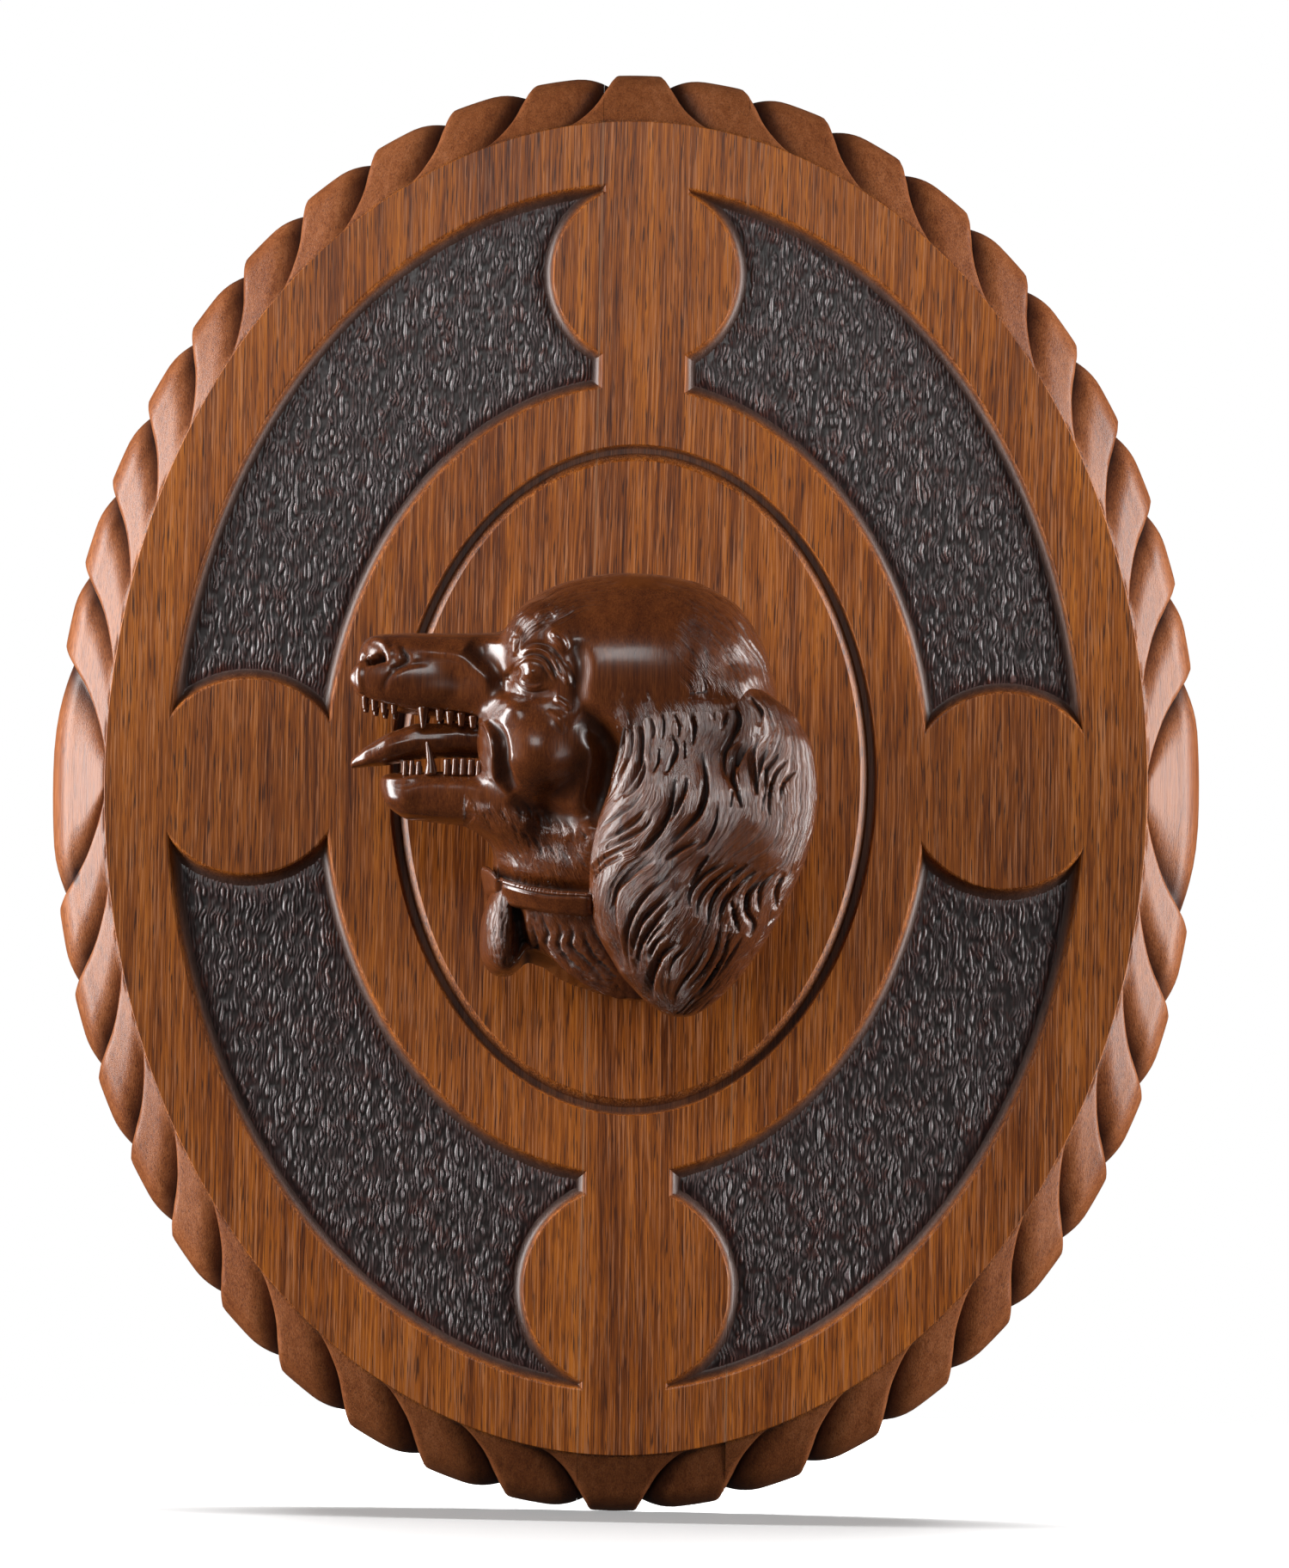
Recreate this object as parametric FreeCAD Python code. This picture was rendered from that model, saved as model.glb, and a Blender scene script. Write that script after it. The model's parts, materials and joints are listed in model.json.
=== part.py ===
import FreeCAD, Part
import math
import os

# A carved wooden wall plaque: an oval board of three upright staves with a rope border, four
# sunk panels and an incised oval, and a hound's head carved in the round, looking left.
# The origin is the centre of the back face. The front faces -Y, +X is to the right, +Z is up.

os.makedirs("parts", exist_ok=True)
Vector = FreeCAD.Vector

# Oval board
HALF_WIDTH = 243.0
HALF_HEIGHT = 305.0
THICKNESS = 34.0
LEFT_SEAM_X = -15.0
RIGHT_SEAM_X = 47.0
CUT_OVERRUN = 4.0

# Rope border
ROPE_BAND = 23.0
ROPE_GROOVE_DEPTH = 5.4
CREST_SKIM = 0.25
NARROW_GROOVE_share = 0.333
TURNS_PER_QUARTER = 11
END_LOBE_OUTSIDE_share = 0.028
END_LOBE_INSIDE_share = 0.082
TURN_OUTSIDE_share = 0.0854
TURN_INSIDE_share = 0.0900
# A lobe starts with a steep shoulder on the side of the top or bottom lobe, and ends in a long slope.
# Each pair: place on the flank and depth there
SLOPE_share = (0.50, 0.40)
SHOULDER_share = (0.20, 0.34)
# Each row: place across the band, depth from the front, way from the inner to the outer end
# of the groove, and depth of the groove
ROPE_PROFILE_shares = (
    (0.00, 0.04, 0.00, 0.10),
    (0.28, 0.15, 0.34, 0.70),
    (0.56, 0.29, 0.62, 0.92),
    (0.88, 0.46, 0.88, 1.00),
    (1.00, 0.70, 1.03, 0.98),
    (0.92, 1.00, 1.20, 0.80),
)

# Sunk panels
PANEL_HALF_WIDTH = 193.0
PANEL_HALF_HEIGHT = 254.5
PANEL_INNER_HALF_WIDTH = 127.0
PANEL_INNER_HALF_HEIGHT = 167.0
PANEL_INNER_RAISE = 2.5
PANEL_DEPTH = 4.5
PANEL_BEVEL = 4.5
STRAP_WIDTH = 36.0
STRAP_X = 4.0
SIDE_ROUNDEL_RADIUS = 42.0
SIDE_ROUNDEL_X = 159.5
SIDE_ROUNDEL_Z = 0.5
TOP_ROUNDEL_RADIUS = 39.2
TOP_ROUNDEL_Z = 217.0
BOTTOM_ROUNDEL_RADIUS = 43.5
BOTTOM_ROUNDEL_Z = -212.0

# Incised oval
RING_HALF_WIDTH = 102.5
RING_HALF_HEIGHT = 141.5
RING_WIDTH = 6.0
RING_DEPTH = 3.0
RING_FLANK = 2.0
RING_X = 3.0
RING_RAISE = 2.5

# Head: its nose tip, crown and reach from the flat front
HEAD_LENGTH = 174.5
HEAD_DROP = 183.0
HEAD_REACH = 112.0
NOSE_X = -112.5
CROWN_Z = 84.0
COLLAR_STAND = 2.6
EYE_RADIUS = 6.5
CHEEK_RADIUS = 24.0
BROW_RADIUS = 17.0
NOSTRIL_RADIUS = 3.0
NOSTRIL_DEPTH = 7.0
TOOTH_SEAT = 1.5

# Joinery and hardware
DOWEL_RADIUS = 5.0
DOWEL_LENGTH = 60.0
SCREW_RADIUS = 2.5
SCREW_HEAD_RADIUS = 5.5
SCREW_LENGTH = 58.0
SCREW_SINK = 1.0
SCREW_SLOT = 1.2
HANGER_WIDTH = 22.0
HANGER_HEIGHT = 64.0
HANGER_PLATE = 1.6
HANGER_Z = 215.0
PEG_HOLE_RADIUS = 5.5
PEG_HOLE_DEPTH = 16.0
HANGER_SCREW_RADIUS = 1.6
HANGER_SCREW_HEAD_RADIUS = 3.0
HANGER_SCREW_LENGTH = 16.0
HANGER_SCREW_SPACING = 44.0

# The dowels' levels as shares of the board's half height
DOWEL_ROW_shares = (-0.492, -0.105, 0.105, 0.492)
# The screws into the head: each place along the head and level
SCREW_PLACE_shares = ((0.771, 0.393), (0.908, 0.557), (0.759, 0.760))

FIELD_HALF_WIDTH = HALF_WIDTH - ROPE_BAND
FIELD_HALF_HEIGHT = HALF_HEIGHT - ROPE_BAND
UP = Vector(0, 0, 1)
OUTWARD = Vector(0, -1, 0)


def oval_wire(half_width, half_height, y, x=0.0, z=0.0):
    """An upright ellipse in a plane parallel to the wall."""
    tall = Part.Ellipse(Vector(x, y, z + half_height), Vector(x + half_width, y, z), Vector(x, y, z))
    return Part.Wire([tall.toShape()])


def oval_cutter(half_width, half_height, spread, depth, x=0.0, z=0.0):
    """An oval plug that enters the front face to a depth, and widens by spread on its way in."""
    over = spread * CUT_OVERRUN / depth
    outer = oval_wire(half_width - over, half_height - over, -THICKNESS - CUT_OVERRUN, x, z)
    inner = oval_wire(half_width + spread, half_height + spread, -THICKNESS + depth, x, z)
    return Part.makeLoft([outer, inner], True, True)


def round_cutter(radius, x, z):
    """A round plug the size of a roundel, spreading as the panel's wall does."""
    over = PANEL_BEVEL * CUT_OVERRUN / PANEL_DEPTH
    height = PANEL_DEPTH + CUT_OVERRUN
    foot = Vector(x, -THICKNESS - CUT_OVERRUN, z)
    return Part.makeCone(radius - over, radius + PANEL_BEVEL, height, foot, Vector(0, 1, 0))


def strap_cutter(low, high):
    """A plain strap from the inner oval out over the panels' edge, with their sloping wall."""
    over = PANEL_BEVEL * CUT_OVERRUN / PANEL_DEPTH
    half = STRAP_WIDTH / 2
    top = -THICKNESS - CUT_OVERRUN
    floor = -THICKNESS + PANEL_DEPTH
    section = (
        Vector(STRAP_X - half + over, top, low),
        Vector(STRAP_X + half - over, top, low),
        Vector(STRAP_X + half + PANEL_BEVEL, floor, low),
        Vector(STRAP_X - half - PANEL_BEVEL, floor, low),
    )
    return Part.Face(Part.makePolygon(section, True)).extrude(Vector(0, 0, high - low))


def panels():
    """The four sunk panels, as the bodies that are carved away."""
    band = oval_cutter(PANEL_HALF_WIDTH, PANEL_HALF_HEIGHT, -PANEL_BEVEL, PANEL_DEPTH)
    centre = oval_cutter(
        PANEL_INNER_HALF_WIDTH, PANEL_INNER_HALF_HEIGHT, PANEL_BEVEL, PANEL_DEPTH, 0.0, PANEL_INNER_RAISE
    )
    islands = [
        centre,
        round_cutter(SIDE_ROUNDEL_RADIUS, -SIDE_ROUNDEL_X, SIDE_ROUNDEL_Z),
        round_cutter(SIDE_ROUNDEL_RADIUS, SIDE_ROUNDEL_X, SIDE_ROUNDEL_Z),
        round_cutter(TOP_ROUNDEL_RADIUS, STRAP_X, TOP_ROUNDEL_Z),
        round_cutter(BOTTOM_ROUNDEL_RADIUS, STRAP_X, BOTTOM_ROUNDEL_Z),
        strap_cutter(PANEL_INNER_HALF_HEIGHT / 2, FIELD_HALF_HEIGHT),
        strap_cutter(-FIELD_HALF_HEIGHT, -PANEL_INNER_HALF_HEIGHT / 2),
    ]
    return band.cut(islands)


def incised_oval():
    """The groove round the head, steep outside and sloping inside."""
    outside = oval_cutter(RING_HALF_WIDTH, RING_HALF_HEIGHT, 0.0, RING_DEPTH, RING_X, RING_RAISE)
    half_width = RING_HALF_WIDTH - RING_WIDTH
    half_height = RING_HALF_HEIGHT - RING_WIDTH
    inside = oval_cutter(half_width, half_height, RING_FLANK, RING_DEPTH, RING_X, RING_RAISE)
    return outside.cut(inside)


def oval_angle(share, half_width, half_height):
    """The angle from the top that lies a share of a quarter of the way round an oval."""
    steps = 180
    turn = math.pi / 2 / steps
    walked = [0.0]
    for step in range(3 * steps):
        middle = (step + 0.5) * turn
        speed = math.hypot(half_width * math.cos(middle), half_height * math.sin(middle))
        walked.append(walked[-1] + speed * turn)
    target = abs(share) * walked[steps]
    step = next(index for index, length in enumerate(walked) if length > target) - 1
    angle = (step + (target - walked[step]) / (walked[step + 1] - walked[step])) * turn
    return math.copysign(angle, share), walked[steps]


def groove_share(index, lead):
    """How far round the quarter a groove runs at a given lead from its inner to its outer end."""
    inside = END_LOBE_INSIDE_share + TURN_INSIDE_share * index
    outside = END_LOBE_OUTSIDE_share + TURN_OUTSIDE_share * index
    if lead > 1:
        lead = 1 + (lead - 1) * outside / (inside - outside) / TURNS_PER_QUARTER
    return inside + (outside - inside) * lead


def profile_normals():
    """The direction square to the rope's profile at each of its stations."""
    slopes = []
    for here, there in zip(ROPE_PROFILE_shares, ROPE_PROFILE_shares[1:]):
        across = (there[0] - here[0]) * ROPE_BAND
        back = (there[1] - here[1]) * THICKNESS
        slopes.append(math.atan2(back, across))
    slopes = [slopes[0]] + slopes + [slopes[-1]]
    middles = [(first + second) / 2 for first, second in zip(slopes, slopes[1:])]
    return [(math.sin(angle), math.cos(angle)) for angle in middles]


def groove_section(share, before, after, out, back, normal, depth):
    """The section of a groove: a point at its bottom and a rounded flank up to each lobe's crest."""
    half_width = FIELD_HALF_WIDTH + out
    half_height = FIELD_HALF_HEIGHT + out
    angle, quarter = oval_angle(share, half_width, half_height)
    cosine = math.cos(angle)
    sine = math.sin(angle)
    speed = math.hypot(half_width * cosine, half_height * sine)
    curve = half_width * half_height / speed**3
    along = Vector(half_width * cosine, 0, -half_height * sine) / speed
    away = Vector(half_height * sine, 0, half_width * cosine) / speed
    square = away * normal[0] + OUTWARD * normal[1]
    foot = Vector(half_width * sine, back - THICKNESS, half_height * cosine)
    widest = TURN_OUTSIDE_share * quarter / 2
    left = -min((share - before) * quarter / 2, widest)
    right = min((after - share) * quarter / 2, widest)
    depth = min(depth, (right - left) * NARROW_GROOVE_share)

    def corner(place, height):
        sag = curve * place**2 * normal[0] / 2
        return foot + along * place + square * (height - sag)

    long_side, half_down = SLOPE_share
    short_side, shoulder = SHOULDER_share
    corners = [
        corner(left, CREST_SKIM),
        corner(left * long_side, -depth * half_down),
        corner(0, -depth),
        corner(right * short_side, -depth * shoulder),
        corner(right, CREST_SKIM),
        corner(0, CUT_OVERRUN),
    ]
    return Part.makePolygon(corners, True)


def rope_groove(index):
    """One groove of the rope, from the edge of the flat front over the rim to the back."""
    sections = []
    last = ROPE_PROFILE_shares[-1]
    for row, normal in zip(ROPE_PROFILE_shares, profile_normals()):
        across, deep, lead, bite = row
        back = deep * THICKNESS
        if row is last:
            back = back + CUT_OVERRUN
        share = groove_share(index, lead)
        before = groove_share(index - 1, lead) if index else -share
        after = groove_share(index + 1, lead) if index < TURNS_PER_QUARTER - 1 else 2 - share
        depth = bite * ROPE_GROOVE_DEPTH
        out = across * ROPE_BAND
        sections.append(groove_section(share, before, after, out, back, normal, depth))
    return Part.makeLoft(sections, True, True)


def roped_board():
    """The whole oval board: a flat front, and a rounded rim cut by grooves, alike in each quarter."""
    ovals = [oval_wire(FIELD_HALF_WIDTH, FIELD_HALF_HEIGHT, -THICKNESS)]
    for across, deep, lead, bite in ROPE_PROFILE_shares:
        out = across * ROPE_BAND
        back = deep * THICKNESS - THICKNESS
        ovals.append(oval_wire(FIELD_HALF_WIDTH + out, FIELD_HALF_HEIGHT + out, back))
    middle = Vector(0, 0, 0)
    grooves = [rope_groove(index) for index in range(TURNS_PER_QUARTER)]
    grooves = grooves + [groove.mirror(middle, Vector(1, 0, 0)) for groove in grooves]
    grooves = grooves + [groove.mirror(middle, UP) for groove in grooves]
    return Part.makeLoft(ovals, True, True).cut(grooves)


def screw_body(radius, head_radius, length, sink, x, z):
    """A countersunk wood screw driven from the back, without its slot."""
    head = head_radius - radius
    outline = (
        Vector(0, -sink, 0),
        Vector(head_radius, -sink, 0),
        Vector(radius, -sink - head, 0),
        Vector(radius, -length + radius * 2, 0),
        Vector(0, -length, 0),
    )
    face = Part.Face(Part.makePolygon(outline, True))
    screw = face.revolve(Vector(0, 0, 0), Vector(0, 1, 0), 360)
    screw.translate(Vector(x, 0, z))
    return screw


def screw_mouth(head_radius, sink, x, z):
    """The short round mouth over a sunk screw head."""
    return Part.makeCylinder(head_radius, sink + CUT_OVERRUN, Vector(x, CUT_OVERRUN, z), OUTWARD)


def slotted(screw, head_radius, sink, x, z):
    """The screw with the slot for the driver."""
    corner = Vector(x - head_radius, -sink - SCREW_SLOT, z - SCREW_SLOT / 2)
    return screw.cut(Part.makeBox(head_radius * 2, SCREW_SLOT, SCREW_SLOT, corner))


def upright_pill(width, height, front, back, x, z):
    """A plate with round ends, standing upright between two depths."""
    half = width / 2
    reach = height / 2 - half
    left = x - half
    right = x + half
    top = Vector(x, back, z + height / 2)
    foot = Vector(x, back, z - height / 2)
    low_left = Vector(left, back, z - reach)
    high_left = Vector(left, back, z + reach)
    low_right = Vector(right, back, z - reach)
    high_right = Vector(right, back, z + reach)
    edges = [
        Part.LineSegment(low_left, high_left).toShape(),
        Part.Arc(high_left, top, high_right).toShape(),
        Part.LineSegment(high_right, low_right).toShape(),
        Part.Arc(low_right, foot, low_left).toShape(),
    ]
    return Part.Face(Part.Wire(edges)).extrude(Vector(0, front - back, 0))


def hanger():
    """The brass plate round the peg hole, its two screws and what is cut from the board for them."""
    plate = upright_pill(HANGER_WIDTH, HANGER_HEIGHT, -HANGER_PLATE, 0.0, 0.0, HANGER_Z)
    start = Vector(0, CUT_OVERRUN, HANGER_Z)
    hole = Part.makeCylinder(PEG_HOLE_RADIUS, PEG_HOLE_DEPTH + CUT_OVERRUN, start, OUTWARD)
    bodies = []
    screws = []
    for side in (-1, 1):
        z = HANGER_Z + side * HANGER_SCREW_SPACING / 2
        body = screw_body(HANGER_SCREW_RADIUS, HANGER_SCREW_HEAD_RADIUS, HANGER_SCREW_LENGTH, 0.0, 0.0, z)
        bodies.append(body)
        screws.append(slotted(body, HANGER_SCREW_HEAD_RADIUS, 0.0, 0.0, z))
    return plate.cut([hole] + bodies), Part.makeCompound(screws), [plate, hole] + bodies


def dowels():
    """The dowels across the two glue joints."""
    pins = []
    for seam in (LEFT_SEAM_X, RIGHT_SEAM_X):
        for row in DOWEL_ROW_shares:
            start = Vector(seam - DOWEL_LENGTH / 2, -THICKNESS / 2, row * HALF_HEIGHT)
            pins.append(Part.makeCylinder(DOWEL_RADIUS, DOWEL_LENGTH, start, Vector(1, 0, 0)))
    return pins


def staves(cutters):
    """The board in three upright staves, each with its share of the rope, the panels and the oval."""
    board = roped_board().cut([panels(), incised_oval()] + cutters)
    reach = HALF_WIDTH + CUT_OVERRUN
    height = 2 * (HALF_HEIGHT + CUT_OVERRUN)
    depth = THICKNESS + 2 * CUT_OVERRUN
    bounds = (-reach, LEFT_SEAM_X, RIGHT_SEAM_X, reach)
    pieces = []
    for left, right in zip(bounds, bounds[1:]):
        corner = Vector(left, -THICKNESS - CUT_OVERRUN, -height / 2)
        pieces.append(board.common(Part.makeBox(right - left, depth, height, corner)))
    return pieces


def head_x(share):
    return NOSE_X + share * HEAD_LENGTH


def head_z(share):
    return CROWN_Z - share * HEAD_DROP


def head_y(share):
    return -THICKNESS - share * HEAD_REACH


def round_wire(centre, first, second, fullness):
    """A closed smooth section round a centre, as wide as its two half axes; a fuller one is boxier."""
    quarter = ((1, 0), (fullness, fullness), (0, 1), (-fullness, fullness))
    places = quarter + tuple((-across, -up) for across, up in quarter)
    points = [centre + first * across + second * up for across, up in places]
    curve = Part.BSplineCurve()
    curve.interpolate(Points=points, PeriodicFlag=True, Parameters=list(range(len(points) + 1)))
    return Part.Wire([curve.toShape()])


def along_head(sections):
    """A body through upright sections, each with its place along the head, top, bottom, middle,
    half width and fullness."""
    wires = []
    for place, top, bottom, middle, half, fullness in sections:
        centre = Vector(head_x(place), head_y(middle), head_z((top + bottom) / 2))
        up = UP * ((bottom - top) * HEAD_DROP / 2)
        wires.append(round_wire(centre, OUTWARD * (half * HEAD_REACH), up, fullness))
    return Part.makeLoft(wires, True, True)


def down_head(sections, fullness):
    """A body through level sections, each with its level, left and right ends, back and front."""
    wires = []
    for level, left, right, back, front in sections:
        centre = Vector(head_x((left + right) / 2), head_y((back + front) / 2), head_z(level))
        across = Vector((right - left) * HEAD_LENGTH / 2, 0, 0)
        wires.append(round_wire(centre, across, OUTWARD * ((front - back) * HEAD_REACH / 2), fullness))
    return Part.makeLoft(wires, True, True)


UPPER_JAW_shares = (
    (0.005, 0.200, 0.270, 0.536, 0.050, 0.74),
    (0.018, 0.168, 0.303, 0.536, 0.110, 0.78),
    (0.050, 0.155, 0.315, 0.536, 0.145, 0.80),
    (0.112, 0.152, 0.326, 0.536, 0.165, 0.80),
    (0.194, 0.151, 0.338, 0.536, 0.180, 0.80),
    (0.265, 0.150, 0.347, 0.536, 0.205, 0.80),
    (0.337, 0.147, 0.365, 0.536, 0.240, 0.78),
    (0.461, 0.125, 0.431, 0.536, 0.277, 0.74),
)
SKULL_shares = (
    (0.346, 0.147, 0.443, 0.536, 0.143, 0.72),
    (0.379, 0.088, 0.510, 0.536, 0.241, 0.72),
    (0.430, 0.050, 0.543, 0.536, 0.304, 0.72),
    (0.502, 0.021, 0.553, 0.536, 0.348, 0.72),
    (0.604, 0.002, 0.555, 0.536, 0.375, 0.72),
    (0.706, 0.004, 0.553, 0.536, 0.379, 0.72),
    (0.809, 0.019, 0.542, 0.536, 0.366, 0.72),
    (0.901, 0.066, 0.501, 0.536, 0.312, 0.72),
    (0.962, 0.149, 0.432, 0.536, 0.223, 0.72),
    (1.000, 0.256, 0.353, 0.536, 0.080, 0.72),
)
LOWER_JAW_shares = (
    (0.063, 0.477, 0.503, 0.536, 0.054, 0.75),
    (0.080, 0.471, 0.541, 0.536, 0.098, 0.78),
    (0.121, 0.468, 0.568, 0.536, 0.129, 0.78),
    (0.189, 0.465, 0.574, 0.536, 0.152, 0.78),
    (0.271, 0.466, 0.581, 0.536, 0.179, 0.78),
    (0.343, 0.466, 0.628, 0.536, 0.214, 0.75),
    (0.436, 0.471, 0.665, 0.536, 0.241, 0.72),
)
TONGUE_shares = (
    (-0.011, 0.438, 0.459, 0.536, 0.027, 0.72),
    (0.023, 0.410, 0.455, 0.536, 0.071, 0.75),
    (0.074, 0.378, 0.450, 0.536, 0.103, 0.75),
    (0.146, 0.353, 0.435, 0.536, 0.112, 0.75),
    (0.238, 0.351, 0.429, 0.536, 0.107, 0.75),
    (0.350, 0.357, 0.431, 0.536, 0.098, 0.75),
)
NECK_shares = (
    (0.417, 0.474, 0.955, 0.223, 0.848),
    (0.553, 0.409, 0.978, 0.107, 0.821),
    (0.652, 0.333, 0.959, 0.036, 0.768),
    (0.720, 0.328, 0.944, -0.018, 0.732),
    (0.827, 0.373, 0.902, -0.071, 0.643),
    (0.915, 0.437, 0.826, -0.125, 0.429),
    (0.987, 0.557, 0.757, -0.161, 0.107),
)
NEAR_EAR_shares = (
    (0.271, 0.630, 0.960, 0.720, 0.893),
    (0.324, 0.592, 1.038, 0.610, 0.965),
    (0.401, 0.605, 1.085, 0.555, 1.000),
    (0.489, 0.600, 1.099, 0.536, 1.000),
    (0.577, 0.573, 1.095, 0.518, 1.000),
    (0.665, 0.560, 1.070, 0.510, 0.991),
    (0.753, 0.560, 1.031, 0.510, 0.973),
    (0.841, 0.588, 0.983, 0.518, 0.946),
    (0.919, 0.637, 0.928, 0.544, 0.902),
    (0.977, 0.695, 0.872, 0.589, 0.839),
    (1.014, 0.752, 0.815, 0.660, 0.768),
)
FAR_EAR_shares = (
    (0.255, 0.650, 0.940, 0.180, 0.400),
    (0.308, 0.610, 1.010, 0.000, 0.440),
    (0.385, 0.605, 1.050, -0.060, 0.450),
    (0.473, 0.600, 1.065, -0.080, 0.450),
    (0.561, 0.580, 1.060, -0.080, 0.450),
    (0.649, 0.570, 1.035, -0.080, 0.440),
    (0.737, 0.575, 0.995, -0.080, 0.420),
    (0.825, 0.600, 0.945, -0.080, 0.380),
    (0.903, 0.650, 0.890, -0.080, 0.300),
)
COLLAR_TOP_share = 0.695
COLLAR_BOTTOM_share = 0.760
EYE_shares = (0.419, 0.239, 0.300)
CHEEK_shares = (0.430, 0.400, 0.150)
BROW_shares = (0.450, 0.165, 0.190)
NOSTRIL_shares = (0.040, 0.209, 0.085)
THROAT_TUFT_shares = (
    (0.735, 0.330, 0.400, 0.300, 0.600),
    (0.784, 0.307, 0.425, 0.250, 0.607),
    (0.852, 0.304, 0.430, 0.200, 0.571),
    (0.906, 0.330, 0.450, 0.150, 0.464),
    (0.930, 0.360, 0.440, 0.150, 0.360),
)
# Each tooth: place along the jaw, level of the gum, distance from the middle, radius, length and
# width of its tip
UPPER_TEETH_shares = (
    (0.022, 0.306, 0.070, 0.008, 0.020, 0.60),
    (0.045, 0.312, 0.098, 0.008, 0.020, 0.60),
    (0.068, 0.316, 0.112, 0.008, 0.021, 0.60),
    (0.092, 0.320, 0.122, 0.008, 0.019, 0.60),
    (0.162, 0.330, 0.130, 0.014, 0.040, 0.25),
    (0.200, 0.336, 0.135, 0.009, 0.018, 0.50),
    (0.225, 0.340, 0.140, 0.010, 0.020, 0.50),
    (0.252, 0.344, 0.145, 0.010, 0.020, 0.50),
    (0.280, 0.350, 0.150, 0.010, 0.018, 0.50),
)
LOWER_TEETH_shares = (
    (0.121, 0.468, 0.098, 0.006, 0.024, 0.70),
    (0.137, 0.467, 0.106, 0.006, 0.024, 0.70),
    (0.153, 0.467, 0.112, 0.006, 0.022, 0.70),
    (0.182, 0.466, 0.122, 0.014, 0.066, 0.15),
    (0.221, 0.466, 0.132, 0.008, 0.026, 0.75),
    (0.240, 0.466, 0.136, 0.008, 0.028, 0.75),
    (0.259, 0.466, 0.140, 0.008, 0.028, 0.75),
    (0.278, 0.466, 0.144, 0.008, 0.026, 0.75),
    (0.297, 0.467, 0.148, 0.008, 0.024, 0.75),
)
HEAD_MIDDLE_share = 0.536
EAR_FULLNESS_share = 0.74
NECK_FULLNESS_share = 0.76


def on_each_side(place, level, aside):
    """The two points at a place on the head, one on each side of its middle."""
    sides = []
    for side in (-1, 1):
        sides.append(Vector(head_x(place), head_y(HEAD_MIDDLE_share + side * aside), head_z(level)))
    return sides


def tooth_row(rows, way):
    """The teeth on both sides of a jaw, each with its foot a little inside the gum."""
    teeth = []
    for place, level, aside, radius, length, tip in rows:
        for gum in on_each_side(place, level, aside):
            foot = gum - UP * (way * TOOTH_SEAT)
            tall = length * HEAD_DROP + TOOTH_SEAT
            wide = radius * HEAD_LENGTH
            teeth.append(Part.makeCone(wide, wide * tip, tall, foot, UP * way))
    return teeth


def wall_side():
    """Everything behind the flat front, which the head doesn't reach into."""
    reach = HALF_WIDTH
    return Part.makeBox(2 * reach, reach, 2 * reach, Vector(-reach, -THICKNESS, -reach))


def skull():
    """The skull and upper jaw, with the eyes and the nostrils."""
    eyes = [Part.makeSphere(EYE_RADIUS, centre) for centre in on_each_side(*EYE_shares)]
    cheeks = [Part.makeSphere(CHEEK_RADIUS, centre) for centre in on_each_side(*CHEEK_shares)]
    brows = [Part.makeSphere(BROW_RADIUS, centre) for centre in on_each_side(*BROW_shares)]
    block = along_head(SKULL_shares).fuse([along_head(UPPER_JAW_shares)] + eyes + cheeks + brows)
    nostrils = []
    for tip in on_each_side(*NOSTRIL_shares):
        start = tip - Vector(NOSTRIL_DEPTH, 0, 0)
        nostrils.append(Part.makeCylinder(NOSTRIL_RADIUS, 2 * NOSTRIL_DEPTH, start, Vector(1, 0, 0)))
    return block.cut(nostrils)


def neck():
    """The neck with its throat tuft, flat where it lies on the board."""
    tuft = down_head(THROAT_TUFT_shares, EAR_FULLNESS_share)
    return down_head(NECK_shares, NECK_FULLNESS_share).fuse(tuft).cut(wall_side())


def collar_band(others):
    """The collar: the neck's own section, let out by its stand, between two levels."""
    rows = []
    grow_x = COLLAR_STAND / HEAD_LENGTH
    grow_y = COLLAR_STAND / HEAD_REACH
    for level in (COLLAR_TOP_share, COLLAR_BOTTOM_share):
        for low, high in zip(NECK_shares, NECK_shares[1:]):
            if low[0] <= level < high[0]:
                part = (level - low[0]) / (high[0] - low[0])
                row = [first + (second - first) * part for first, second in zip(low, high)]
        rows.append((level, row[1] - grow_x, row[2] + grow_x, row[3] - grow_y, row[4] + grow_y))
    band = down_head(rows, NECK_FULLNESS_share)
    return band.cut([wall_side()] + others)


def largest(shape):
    """The largest solid of a shape, without the crumbs that a cut may leave."""
    return max(shape.Solids, key=lambda solid: solid.Volume)


def export(name, shape):
    shape.exportStep("parts/" + name + ".step")


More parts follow.
